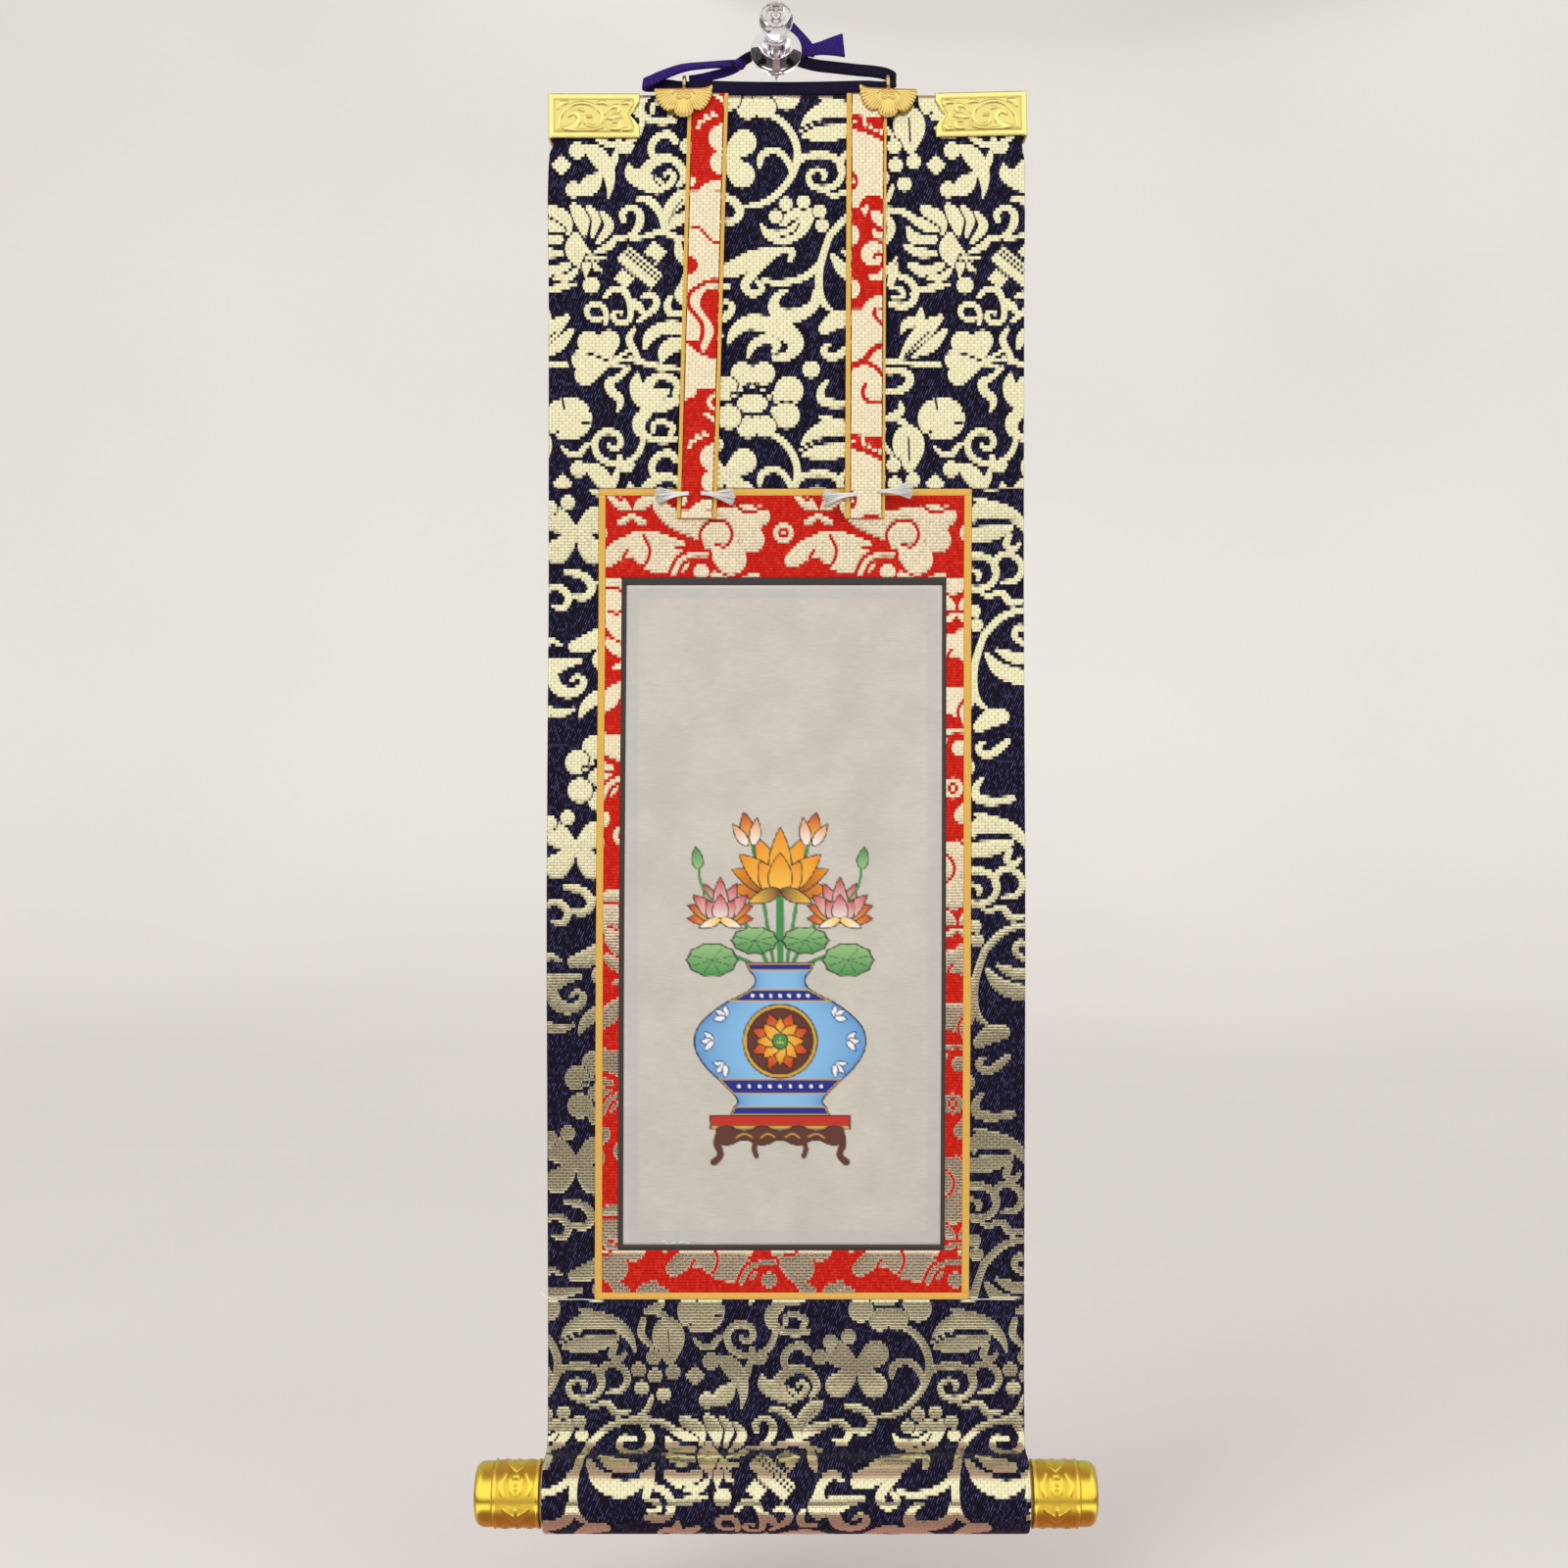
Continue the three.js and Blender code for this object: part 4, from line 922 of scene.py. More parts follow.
def brocade(ground_low, ground_high, painted_twill_highlight, gold, tie_warp_and_gap_shade, ribbed):
    """Writes a lampas finish: gold floats where the figure is, ribs or twill elsewhere."""
    def look():
        across, down = cloth_map()
        figure = 0.5 - kept("figure") * 7.0
        figure = figure.math("MINIMUM", 1.0).math("MAXIMUM", 0.0)
        weft = down / PICK
        row = weft.math("FLOOR")
        within = weft - row - 0.5
        odd = row.math("MODULO", 2.0).math("ABSOLUTE")
        brick = across / FLOAT + odd * 0.5
        along = brick - brick.math("FLOOR") - 0.5
        end = along.math("ABSOLUTE").fade(0.43, 0.5) * 0.75
        valley = within.math("ABSOLUTE").fade(0.36, 0.5)
        twill = (across + down * (0.0 if ribbed else 0.42)) / TWILL * math.tau
        rib = down / (PICK * 0.5) * math.tau
        thread = twill.math("SINE")
        rib_wave = rib.math("SINE")
        speck = noise(flat_point(across * 1.6, row * 3.7), 1.0, 1.0)
        worn = noise(place_mm(), 0.06, 2.0)
        shown = figure * (1.0 - end)
        if ribbed:
            height = rib_wave * 0.5 + 0.5
            ground_tilt_down, ground_tilt_across = rib.math("COSINE") * 0.30, thread * 0.05
        else:
            height = thread * 0.5 + 0.5 + rib_wave * 0.08
            ground_tilt_down, ground_tilt_across = rib.math("COSINE") * 0.10, (
                twill.math("COSINE") * -0.30)
        ground = blend(height * (0.55 + speck * 0.9), ground_low, ground_high)
        # A painted highlight: lighter specks on the high side of the twill or ribs.
        ground = blend(height.fade(0.5, 0.95) * speck.fade(0.48, 0.64) * 0.6, ground, painted_twill_highlight)
        leaf = blend(speck.fade(0.3, 0.75), tuple(g * 0.86 for g in gold), gold)
        # Between gold rows the colour goes towards the brown binding warp: partly the warp itself, partly
        # painted shade in the gap.
        leaf = blend(valley * 0.35, leaf, tie_warp_and_gap_shade)
        slope_down = (within * -0.10 + (speck - 0.5) * 0.05) * figure + (
            ground_tilt_down * (1.0 - figure))
        slope_across = (along * -0.06 + (speck - 0.5) * 0.1) * figure + (
            ground_tilt_across * (1.0 - figure))
        return {"Base Color": blend(shown, blend(figure * 0.8, ground, tie_warp_and_gap_shade), leaf),
                "Metallic": shown * 0.94 * (1.0 - valley * 0.4),
                "Roughness": 0.60 - shown * (0.40 + worn * 0.05),
                "Specular IOR Level": 0.07, "Sheen Weight": 0.03, "Sheen Roughness": 0.5,
                "Normal": lean(slope_across, slope_down)}
    return look


# The third colour of each brocade is its painted highlight on the ground; the fifth is the binding warp,
# also used as painted shade between gold rows.
navy_brocade = finish("navy_brocade", brocade(
    colour(3, 2, 7), colour(30, 26, 46), colour(100, 98, 158), colour(252, 246, 204),
    colour(80, 64, 38), False))
red_brocade = finish("red_brocade", brocade(
    colour(150, 12, 8), colour(220, 38, 24), colour(244, 84, 62), colour(252, 240, 206),
    colour(146, 76, 44), True))
print("nodes in a brocade", len(Wire.tree.nodes))

# %% [markdown]
# ## Backing paper
#
# Behind every cloth is a thin, off-white, long-fibred paper, put on with starch paste. It shows
# only from behind and along the cut edges.

# %% Finish of the backing paper
def paper_back_look():
    """Off-white, mottled by clouds of fibre, with faint wrinkles from the paste."""
    here = place_mm()
    fibre = noise(vector("MULTIPLY", here, (2.2, 2.2, 0.35)), 1.0, 4.0, 0.6)
    cloud = noise(here, 0.12, 3.0)
    return {"Base Color": blend(fibre * 0.6 + cloud * 0.4, colour(196, 186, 166),
                                colour(226, 219, 203)),
            "Roughness": 0.85, "Normal": bumped(0.35, 0.0002, fibre + cloud)}


backing_paper = finish("backing_paper", paper_back_look)
print("nodes in its finish", len(Wire.tree.nodes))

# %% [markdown]
# ## How the sheets hang
#
# The fixed frame already says how the cloth bows and where every seam runs. Each sheet there
# is a plain box laid along its path, so its corners, sorted by height, give rows of depth and
# of left and right edge. The long front is one soft curve drawn through all those rows.

# %% Reading the fixed sheets
ROW_APART = 0.15
CLOTH, GAP = 1.0, 0.3


def points_of(piece):
    """Where the points of a piece are, in millimetres."""
    flat = np.empty(len(piece.data.vertices) * 3)
    piece.data.vertices.foreach_get("co", flat)
    return flat.reshape(-1, 3) / MM


def rows_of(node, below=1e9, above=-1e9):
    """Rows of a fixed sheet from the top: height, middle depth, left and right edge."""
    points = points_of(frame["nodes"][node])
    points = points[(points[:, 2] < below) & (points[:, 2] > above)]
    points = points[np.argsort(-points[:, 2])]
    groups = np.split(points, np.flatnonzero(np.diff(points[:, 2]) < -ROW_APART) + 1)
    return np.array([[(g[:, 2].min() + g[:, 2].max()) / 2, (g[:, 1].min() + g[:, 1].max()) / 2,
                      g[:, 0].min(), g[:, 0].max()] for g in groups])


SEAM_TOP = rows_of("pillar_left")[0, 0] + GAP / 2
SEAM_BOTTOM = rows_of("pillar_left")[-1, 0] - GAP / 2
stave_low, stave_high = box("stave")
roller_low, roller_high = box("roller")
FLAT_START, FLAT_END = stave_low[2] - 5, -266.2     # the long front begins and ends here
HEM_FRONT = stave_low[1] - GAP - CLOTH / 2
front_rows = np.vstack([[[height, HEM_FRONT, 0, 0] for height in (-8.5, -16.5)],
                        rows_of("top_cloth", below=FLAT_START - 10), rows_of("pillar_left"),
                        rows_of("bottom_cloth", below=SEAM_BOTTOM, above=FLAT_END - 0.3)])
print("seams at", round(float(SEAM_TOP), 1), "and", round(float(SEAM_BOTTOM), 1))
print(np.round(front_rows, 1))


def soft(heights, values):
    """A curve through rows by cubic pieces whose slopes are the mean of the spans beside."""
    order = np.argsort(heights)
    x, y = np.asarray(heights)[order], np.asarray(values)[order]
    keep = np.concatenate([[True], np.diff(x) > 0.5])
    x, y = x[keep], y[keep]
    rise = np.diff(y) / np.diff(x)
    slope = np.concatenate([rise[:1], (rise[1:] + rise[:-1]) / 2, rise[-1:]])

    def curve(z):
        z = np.clip(z, x[0], x[-1])
        k = np.clip(np.searchsorted(x, z) - 1, 0, len(x) - 2)
        span = x[k + 1] - x[k]
        return hermite((z - x[k]) / span, y[k], span * slope[k], y[k + 1], span * slope[k + 1])
    return curve


depth = soft(front_rows[:, 0], front_rows[:, 1])

# %% [markdown]
# A laid cloth is a slab with a fine front and a plain back. The front has one row of faces for
# each weft, so the figure can change from weft to weft in the small steps that weaving gives.
# The figure's distance is kept on face corners for that reason: two faces that share an edge
# may then disagree about it. Near its side edges a cloth rolls back a little, which draws the
# fine dark lines between pasted pieces.

# %% Laying a cloth along a path
COLUMN, RELIEF = 0.3, 0.04            # width of a face, and how far gold stands up
EDGE_ROLL, EDGE_REACH = 0.16, 0.22    # how far a side edge rolls back, and over what width


def spaced(path, starts_at=0.0, fine=None):
    """The path cut at whole wefts of its own length; `fine` adds half steps between lengths."""
    gone = run_of(path)
    first = math.ceil(starts_at / PICK + 1e-6) * PICK - starts_at
    cuts = np.arange(first, gone[-1], PICK)
    if fine is not None:
        half = cuts + PICK / 2
        cuts = np.sort(np.append(cuts, half[(half > fine[0]) & (half < fine[1])]))
    cuts = np.concatenate([[0], cuts[(cuts > 0.05) & (cuts < gone[-1] - 0.05)], gone[-1:]])
    return np.stack([np.interp(cuts, gone, path[:, k]) for k in range(2)], -1), cuts


def cloth(name, node, path, cuts, left, right, chart, phase, look, slot, column=COLUMN,
          roll=EDGE_ROLL, shares=None, own_side=False):
    """Front points: path + outward * (half thickness + relief - edge roll); x between sides."""
    run = unit(np.gradient(path, axis=0))
    out = beside(run[:, 1], -run[:, 0])
    lefts, rights = left(path[:, 1]), right(path[:, 1])
    if shares is None:
        shares = np.linspace(0, 1, max(4, round(float(np.mean(rights - lefts)) / column)) + 1)
    rows, columns = len(path), len(shares)
    x = lefts[:, None] + (rights - lefts)[:, None] * shares
    from_edge = np.minimum(x - lefts[:, None], rights[:, None] - x)
    shift = phase[0] - (lefts[:, None] if own_side else 0)
    tile_x, down = x + shift, np.broadcast_to((cuts + phase[1])[:, None], x.shape)
    figure, raised = np.full((rows - 1, columns), FAR), 0.0
    if chart:
        weft = (np.floor((cuts[:-1] + cuts[1:]) / 2 / PICK + phase[1] / PICK) + 0.5) * PICK
        figure = chart.at((tile_x[1:] + tile_x[:-1]) / 2, weft[:, None])
        raised = np.clip(0.5 - chart.at(tile_x, down) * 2.5, 0, 1)
    lift = CLOTH / 2 + RELIEF * raised - roll * np.exp(-from_edge / EDGE_REACH)
    front = np.stack([x, *(path[:, None, k] + out[:, None, k] * lift for k in range(2))], -1)
    behind = path - out * CLOTH / 2
    ends = np.stack([np.column_stack([side, behind]) for side in (lefts, rights)], 1)
    points = np.concatenate([front.reshape(-1, 3), ends.reshape(-1, 3)])
    f = np.arange(rows * columns).reshape(rows, columns)
    b = rows * columns + np.arange(rows * 2).reshape(rows, 2)
    skin = quads(rows, columns)
    hidden = quads(rows, 2, rows * columns, flip=True)
    rims = np.concatenate([
        beside(f[:-1, 0], b[:-1, 0], b[1:, 0], f[1:, 0]),
        beside(f[:-1, -1], f[1:, -1], b[1:, 1], b[:-1, 1])])
    caps = [np.concatenate([f[0], b[0, ::-1]]), np.concatenate([f[-1, ::-1], b[-1]])]
    faces = skin.tolist() + hidden.tolist() + rims.tolist() + [c.tolist() for c in caps]
    loops = np.concatenate([skin.ravel(), hidden.ravel(), rims.ravel(), *caps])
    maps = np.concatenate([beside(tile_x, down).reshape(-1, 2),
                           beside(ends[..., 0] + shift, down[:, :2]).reshape(-1, 2)])
    woven = np.full(len(loops), FAR)
    woven[:skin.size] = np.stack([figure[:, :-1]] * 2 + [figure[:, 1:]] * 2, -1).ravel()
    piece = put(name, node, points, faces, look, slot, uv=maps[loops], corners=woven)
    piece.data.materials.append(backing_paper)
    which = np.zeros(len(faces), int)
    which[len(skin):len(skin) + len(hidden)] = 1
    piece.data.polygons.foreach_set("material_index", which)
    print(name, rows, "rows,", columns, "columns")
    return piece


def straight(top, bottom, curve=None):
    """A path straight down the soft depth curve, as close points of depth and height."""
    heights = np.linspace(top, bottom, max(3, round(abs(top - bottom) * 2)))
    return beside((curve or depth)(heights), heights)


def arc(centre, radius, start, stop, count=24):
    """Points of depth and height round a centre, with angles from -Y upwards to +Z."""
    turn = np.radians(np.linspace(start, stop, count))
    return beside(centre[0] - radius * np.cos(turn), centre[1] + radius * np.sin(turn))


# %% [markdown]
# ## The top cloth and its hem
#
# The cloth comes up behind the stave, goes over it and hangs down to the upper seam. It is one
# strip, so its path is written in one go. The woven repeat is counted from the crown, both ways.

# %% Top cloth
half_stave = (stave_high[1] - stave_low[1]) / 2 + GAP + CLOTH / 2
stave_middle = (stave_high[1] + stave_low[1]) / 2
BEND, TURNED_UP, CROWN_NEAR = 0.9, (2.3, 4.1), 5.0
crown = stave_high[2] + GAP + CLOTH / 2
hem_back, hem_front = stave_middle + half_stave, stave_middle - half_stave
foot = crown - (stave_high[2] - stave_low[2]) - 2 * GAP - CLOTH
tuck = float(depth(foot - 2)) + CLOTH + GAP

hem_up = np.array([[tuck, foot - TURNED_UP[1]], [tuck, foot - TURNED_UP[0]],
                   [hem_back, foot + GAP], [hem_back, crown - BEND]])
over = np.vstack([arc((hem_back - BEND, crown - BEND), BEND, 180, 90, 8),
                  arc((hem_front + BEND, crown - BEND), BEND, 90, 0, 8)])
fall = np.vstack([[hem_front, foot + 1.0], straight(foot - 1.5, SEAM_TOP)])
top_path = np.vstack([hem_up[:-1], over, fall])
to_crown = run_of(top_path)[len(hem_up) - 1 + 11]      # how far along it the crown is


def outer_edge(pillar, column):
    """A side of the whole scroll as a soft function of height."""
    rows = [rows_of(node)[:, [0, column]] for node in ("top_cloth", pillar, "bottom_cloth")]
    return soft(*np.vstack(rows).T)


left_side, right_side = outer_edge("pillar_left", 2), outer_edge("pillar_right", 3)
LEFT_EDGE = float(left_side(-50.0))


def navy_cloth(which, node, laid, left, right, across, down):
    """A cut of the navy cloth; across and down say where in the repeat it begins."""
    return cloth("brocade_" + which, node, *laid, left, right, navy_chart,
                 (across - LEFT_EDGE, down), navy_brocade, "navy_brocade")


laid = spaced(top_path, -to_crown, fine=(to_crown - CROWN_NEAR, to_crown + CROWN_NEAR))
top_cloth = navy_cloth("top", "top_cloth", laid, left_side, right_side, 0, -to_crown)

# %% [markdown]
# ## The pillars and the bottom cloth
#
# They are cut from the same navy cloth, each from another part of the repeat. The bottom cloth
# swings out in a hollow curve, meets the roller and is wound most of a turn round it. The cloth
# was stretched as it was glued over the roller, so the repeat runs 4.2 mm longer there.

# %% Pillars and bottom cloth
def frame_line(node, column, by):
    """One side of a fixed sheet, moved sideways, as a soft function of height."""
    line = soft(*rows_of(node)[:, [0, column]].T)
    return lambda z: line(z) + by


HALF = GAP / 2
laid = spaced(straight(SEAM_TOP, SEAM_BOTTOM))
pillar_left = navy_cloth("pillar_left", "pillar_left", laid, left_side,
                         frame_line("pillar_left", 3, HALF), 28.9, 3.0)
pillar_right = navy_cloth("pillar_right", "pillar_right", laid,
                          frame_line("pillar_right", 2, -HALF), right_side, -30.1, 59.4)

SWING, LAP_TURN, SLACK = 4.0, 285, 4.2    # radius of the swing, degrees of lap, stretch
roller_middle = (roller_low + roller_high)[1:] / 2
lap_radius = (roller_high[2] - roller_low[2]) / 2 + GAP + CLOTH / 2
swing = np.array([float(depth(FLAT_END)) - SWING, FLAT_END])
touch = math.degrees(math.atan2(roller_middle[0] - swing[0], swing[1] - roller_middle[1]))
bottom_path = np.vstack([straight(SEAM_BOTTOM, FLAT_END),
                         arc(swing, SWING, 180, 270 - touch, 16)[1:],
                         arc(roller_middle, lap_radius, 90 - touch, 90 - LAP_TURN, 200)[1:]])
path, cuts = spaced(bottom_path)
bend = np.clip((cuts - float(SEAM_BOTTOM - FLAT_END) - 2) / 12, 0, 1)
cuts = cuts - SLACK * bend * bend * (3 - 2 * bend)
bottom_cloth = navy_cloth("bottom", "bottom_cloth", (path, cuts), left_side, right_side,
                          -25.7, 59.4)
print("bottom cloth is cut", round(run_of(bottom_path)[-1], 1), "mm long")

# %% [markdown]
# ## The inner frame
#
# Round the picture run three borders: red brocade, a thin yellow silk edging outside it and a
# black slip inside it. Plain silks have no figure, only fine ribs and a little cloudiness.

# %% Finish of the plain silks
def plain_silk(low, high, rough=0.6):
    """Fine ribs across the band, with noise along each thread."""
    def look():
        across, down = cloth_map()
        grain = noise(flat_point(across * 1.2, down * 9.0), 1.0, 2.0)
        rib = (down * (math.tau / 0.36)).math("SINE")
        warp = (across * (math.tau / 0.3)).math("SINE")
        tone = 0.25 + grain * 0.5 + rib * 0.12 + warp * 0.1
        return {"Base Color": blend(tone, low, high), "Roughness": rough - grain * 0.1,
                "Sheen Weight": 0.15,
                "Normal": lean(warp * 0.10, (down * (math.tau / 0.36)).math("COSINE") * 0.16)}
    return look


yellow_silk = finish("yellow_silk", plain_silk(colour(188, 132, 36), colour(240, 200, 96)))
black_silk = finish("black_silk", plain_silk(colour(20, 17, 17), colour(62, 56, 54)))
print("nodes in a plain silk", len(Wire.tree.nodes))

# %% [markdown]
# Each band is cut straight and butted to the next. The upright bands are narrow, so their
# faces are narrow too, and the level ones save faces along their length.

# %% Frame bands
NO_PHASE = (0.0, 0.0)
STARTS = {"inner_top": (33.2, 0.0), "inner_bottom": (40.0, 24.0), "inner_left": (54.0, 3.0),
          "inner_right": (-10.0, 12.0)}      # where in the repeat each red band begins
band_pieces = {}
for which, chart, look, slot, level, upright in [
        # border, its chart, finish and slot, and the width of a face in each direction
        ("edging", None, yellow_silk, "yellow_edging", 0.6, 0.16),
        ("inner", red_chart, red_brocade, "red_brocade", 0.28, 0.22),
        ("line", None, black_silk, "black_line", 0.6, 0.2)]:
    for side in ("top", "bottom", "left", "right"):
        node = f"{which}_{side}"
        rows = rows_of(node)
        laid = spaced(straight(rows[0, 0] + HALF, rows[-1, 0] - HALF))
        band_pieces[node] = cloth(
            "band_" + node, node, *laid, frame_line(node, 2, -HALF), frame_line(node, 3, HALF),
            chart, STARTS.get(node, NO_PHASE), look, slot, roll=0.10,
            column=level if side in ("top", "bottom") else upright)

# %% [markdown]
# ## The hanging strips
#
# Two narrow strips hang free in front of the top cloth, from the head to just below the upper
# seam. Each is a red slice with a yellow silk edge folded round both sides.

# %% Hanging strips
strip_pieces = {}
for side, chart in [("left", left_chart), ("right", right_chart)]:
    for part, look, slot, cut in [("", red_brocade, "red_brocade", chart),
                                  ("_edge_left", yellow_silk, "yellow_edging", None),
                                  ("_edge_right", yellow_silk, "yellow_edging", None)]:
        node = f"futai_{side}{part}"
        rows = rows_of(node)
        laid = spaced(straight(rows[0, 0], rows[-1, 0], soft(rows[:, 0], rows[:, 1])))
        shut = HALF if cut else 0.0
        strip_pieces[node] = cloth(
            "strip_" + node, node, *laid, frame_line(node, 2, -shut), frame_line(node, 3, shut),
            cut, NO_PHASE, look, slot, column=0.2 if cut else 0.15, roll=0.12, own_side=True)

# %% [markdown]
# ## The paper
#
# The paper panel is plain except for its picture. A faint blue-grey band shows 2.4 mm inside
# its edge, where the turned-over borders lie behind it.

# %% Finish of the paper
paper_rows = rows_of("picture_paper")
PAPER_TOP, PAPER_END = float(paper_rows[0, 0]), float(paper_rows[-1, 0])


def paper_look():
    """Soft mottling and short fibres, with a cooler band a little inside the edges."""
    here = place_mm()
    x, _, z = parts(here)
    middle = float((paper_rows[:, 2] + paper_rows[:, 3]).mean() / 2)
    wide = float((paper_rows[:, 3] - paper_rows[:, 2]).mean())
    side = wide / 2 - (x - middle).math("ABSOLUTE")
    top = (PAPER_TOP - PAPER_END) / 2 - (z - (PAPER_TOP + PAPER_END) / 2).math("ABSOLUTE")
    inside = side.math("MINIMUM", top)
    band = inside.fade(0.2, 0.7) * (1.0 - inside.fade(2.2, 2.9))
    cloud = noise(here, 0.11, 4.0, 0.6)
    fibre = noise(vector("MULTIPLY", here, (0.5, 0.5, 2.4)), 1.0, 4.0, 0.65)
    tone = cloud * 0.55 + fibre * 0.45
    sheet = blend(tone.fade(0.25, 0.8), colour(186, 181, 170), colour(205, 200, 189))
    sheet = blend(band * 0.35, sheet, colour(172, 176, 180))
    return {"Base Color": blend(kept("cover"), sheet, kept("ink", "Color")), "Roughness": 0.8,
            "Normal": bumped(0.25, 0.0002, fibre + cloud * 2.0)}


picture_paper_look = finish("picture_paper", paper_look)
print("paper from", round(PAPER_TOP, 1), "down to", round(PAPER_END, 1))

# %% [markdown]
# ## The picture
#
# The picture is printed on the paper in flat colours with fine dark lines. This one is a calm
# altar arrangement: lotus flowers and leaves in a wide blue vase on a lacquered stand. It is
# painted back to front. Every shape is a distance again, so a fill and its outline are two
# thresholds of the same numbers.

# %% Colours of the picture
PALE_BLUE, DEEP_BLUE, WHITE = colour(132, 184, 222), colour(28, 42, 128), colour(236, 236, 232)
BROWN, DARK_LINE, OLD_GOLD = colour(92, 52, 44), colour(28, 22, 26), colour(206, 160, 60)
ORANGE, YELLOW, RED = colour(226, 140, 34), colour(240, 196, 82), colour(190, 44, 30)
GREEN, PALE_GREEN, SHADE_BLUE = colour(66, 138, 74), colour(150, 190, 128), colour(96, 148, 200)

# %% [markdown]
# Flat colour needs a canvas: one array for the colour of each spot and one for how much of
# the paper it covers. A brush stroke is a chart again, and a petal is a pointed oval.

# %% A canvas for flat colours
def tinted(low, high, share):
    """A tint between two, by a share from 0 to 1 at each spot."""
    return np.asarray(low) * (1 - share[..., None]) + np.asarray(high) * share[..., None]


class Picture:
    """Colour and cover on a fine grid, in mm, with x from the middle and y down from the top."""
    STEP = 0.1

    def __init__(self, wide, high):
        self.wide, self.high = wide, high
        down, right = np.mgrid[0:round(high / self.STEP), 0:round(wide / self.STEP)] * self.STEP
        self.x, self.y = right - wide / 2, down
        self.ink = np.zeros((*down.shape, 3))
        self.cover = np.zeros(down.shape)

    def paint(self, distance, tint, soft_by=0.14):
        """Lays a tint over everything where the distance is below zero."""
        share = np.clip(0.5 - distance / soft_by, 0, 1)
        self.ink += (np.asarray(tint) - self.ink) * share[..., None]
        self.cover = np.maximum(self.cover, share)

    def shape(self, distance, tint, line=DARK_LINE, wide=0.24):
        """A fill with an outline along its edge."""
        self.paint(distance, tint)
        self.paint(abs(distance) - wide / 2, line)

    def slab(self, half, y, tall):
        """How far each spot lies outside a level slab about the middle line."""
        return np.maximum(abs(self.x) - half, abs(self.y - y) - tall)

    def brush(self, strokes, tint, mirror=True):
        """Brush strokes of x, y and width, and the same on the other side."""
        chart = Chart(self.wide, self.high)
        chart.edge = np.full(self.x.shape, FAR)
        for pins in strokes:
            for side in ((1, -1) if mirror else (1,)):
                chart.stroke([(self.wide / 2 + side * x, y, wide) for x, y, wide in pins])
        self.paint(chart.edge, tint)

    def petal(self, x, y, long, wide, lean_by, base, tip, line=DARK_LINE):
        """A pointed oval that starts at x, y: across its axis it is as wide as a sine."""
        turn = math.radians(lean_by)
        right, down = self.x - x, self.y - y
        along = (right * math.sin(turn) - down * math.cos(turn)) / long
        across = right * math.cos(turn) + down * math.sin(turn)
        inside = np.clip(along, 0, 1)
        half = wide / 2 * np.sin(math.pi * inside ** 0.75) ** 0.8
        distance = np.maximum(abs(across) - half, np.maximum(-along, along - 1) * long)
        self.shape(distance, tinted(base, tip, inside), line)


# %% [markdown]
# What lies farthest back comes first: stems, and scalloped leaves with ribs.

# %% Leaves and stems behind the vase
picture = Picture(44.0, 74.0)
picture.brush([
    [(0,34,.9), (.4,24,.8), (0,14,.7)], [(1.6,34,.8), (5,27,.8), (9.4,21,.7)],
    [(2.4,34,.8), (8,31,.8), (13,30.5,.7)], [(1,34,.7), (3.6,18,.7), (5.6,8.2,.6)]], GREEN)
for side in (-1, 1):
    for x, y, wide, tall in [(13.2, 31.4, 5.0, 3.3), (4.9, 27.6, 4.6, 2.7)]:
        across, down = (picture.x - side * x) / wide, (picture.y - y) / tall
        oval = (np.hypot(across, down) - 1) * tall
        scallop = 0.25 * np.abs(np.sin(np.arctan2(down, across) * 5))
        picture.shape(oval + scallop, tinted(PALE_GREEN, GREEN, np.clip(down * 0.5 + 0.5, 0, 1)))
        for turn in np.radians(range(-60, 241, 43)):
            tip = side * x + math.cos(turn) * wide * .8, y + math.sin(turn) * tall * .8
            picture.brush([[(side * x, y, .1), (*tip, .16)]], DARK_LINE, mirror=False)
print("stems and leaves cover", round(float(picture.cover.mean()), 2))


# %% [markdown]
# A lotus is rows of petals. The back row is painted first, so that each row covers the feet
# of the one behind it.

# %% Lotus flowers
def lotus(x, y, size, heart, tip, back):
    """Back petals first, then the side ones, then the front: each pair leans less."""
    for drop, wide, base, end, petals in [
            (0, .40, back, tip, [(-88, .92), (88, .92), (-66, 1.0), (66, 1.0)]),
            (0, .44, heart, tip, [(-24, 1.12), (24, 1.12), (0, 1.2), (-48, 1.04), (48, 1.04)]),
            (.08, .46, heart, tip, [(-32, .74), (32, .74), (0, .80)]),
            (-.02, .26, back, heart, [(-112, .66), (112, .66)])]:
        for lean_by, long in petals:
            picture.petal(x, y + size * drop, size * long, size * wide, lean_by, base, end)


lotus(0, 18.0, 10.2, YELLOW, ORANGE, BROWN)
for side in (-1, 1):
    lotus(side * 11.6, 23.6, 6.9, WHITE, RED, YELLOW)
    for x, y, long, wide, lean_by, base, end in [
            (5.7, 9.2, 6.6, 3.0, 12, YELLOW, RED), (5.2, 9.2, 5.4, 2.2, -8, WHITE, ORANGE),
            (6.4, 9.2, 5.0, 2.0, 34, WHITE, ORANGE), (15.8, 13.8, 4.4, 2.2, 8, PALE_GREEN, GREEN)]:
        picture.petal(side * x, y, long, wide, side * lean_by, base, end)
    picture.brush([
        [(side * 13.4, 19.6, .5), (side * 15.2, 17.0, .5), (side * 15.8, 13.6, .5)]], GREEN, mirror=False)
print("flowers and leaves cover", round(float(picture.cover.mean()), 2))

# %% [markdown]
# A vase is turned, so its outline is one half width for each height. A shade near both sides
# makes it look round, and bands, dots and sprigs are laid over that.

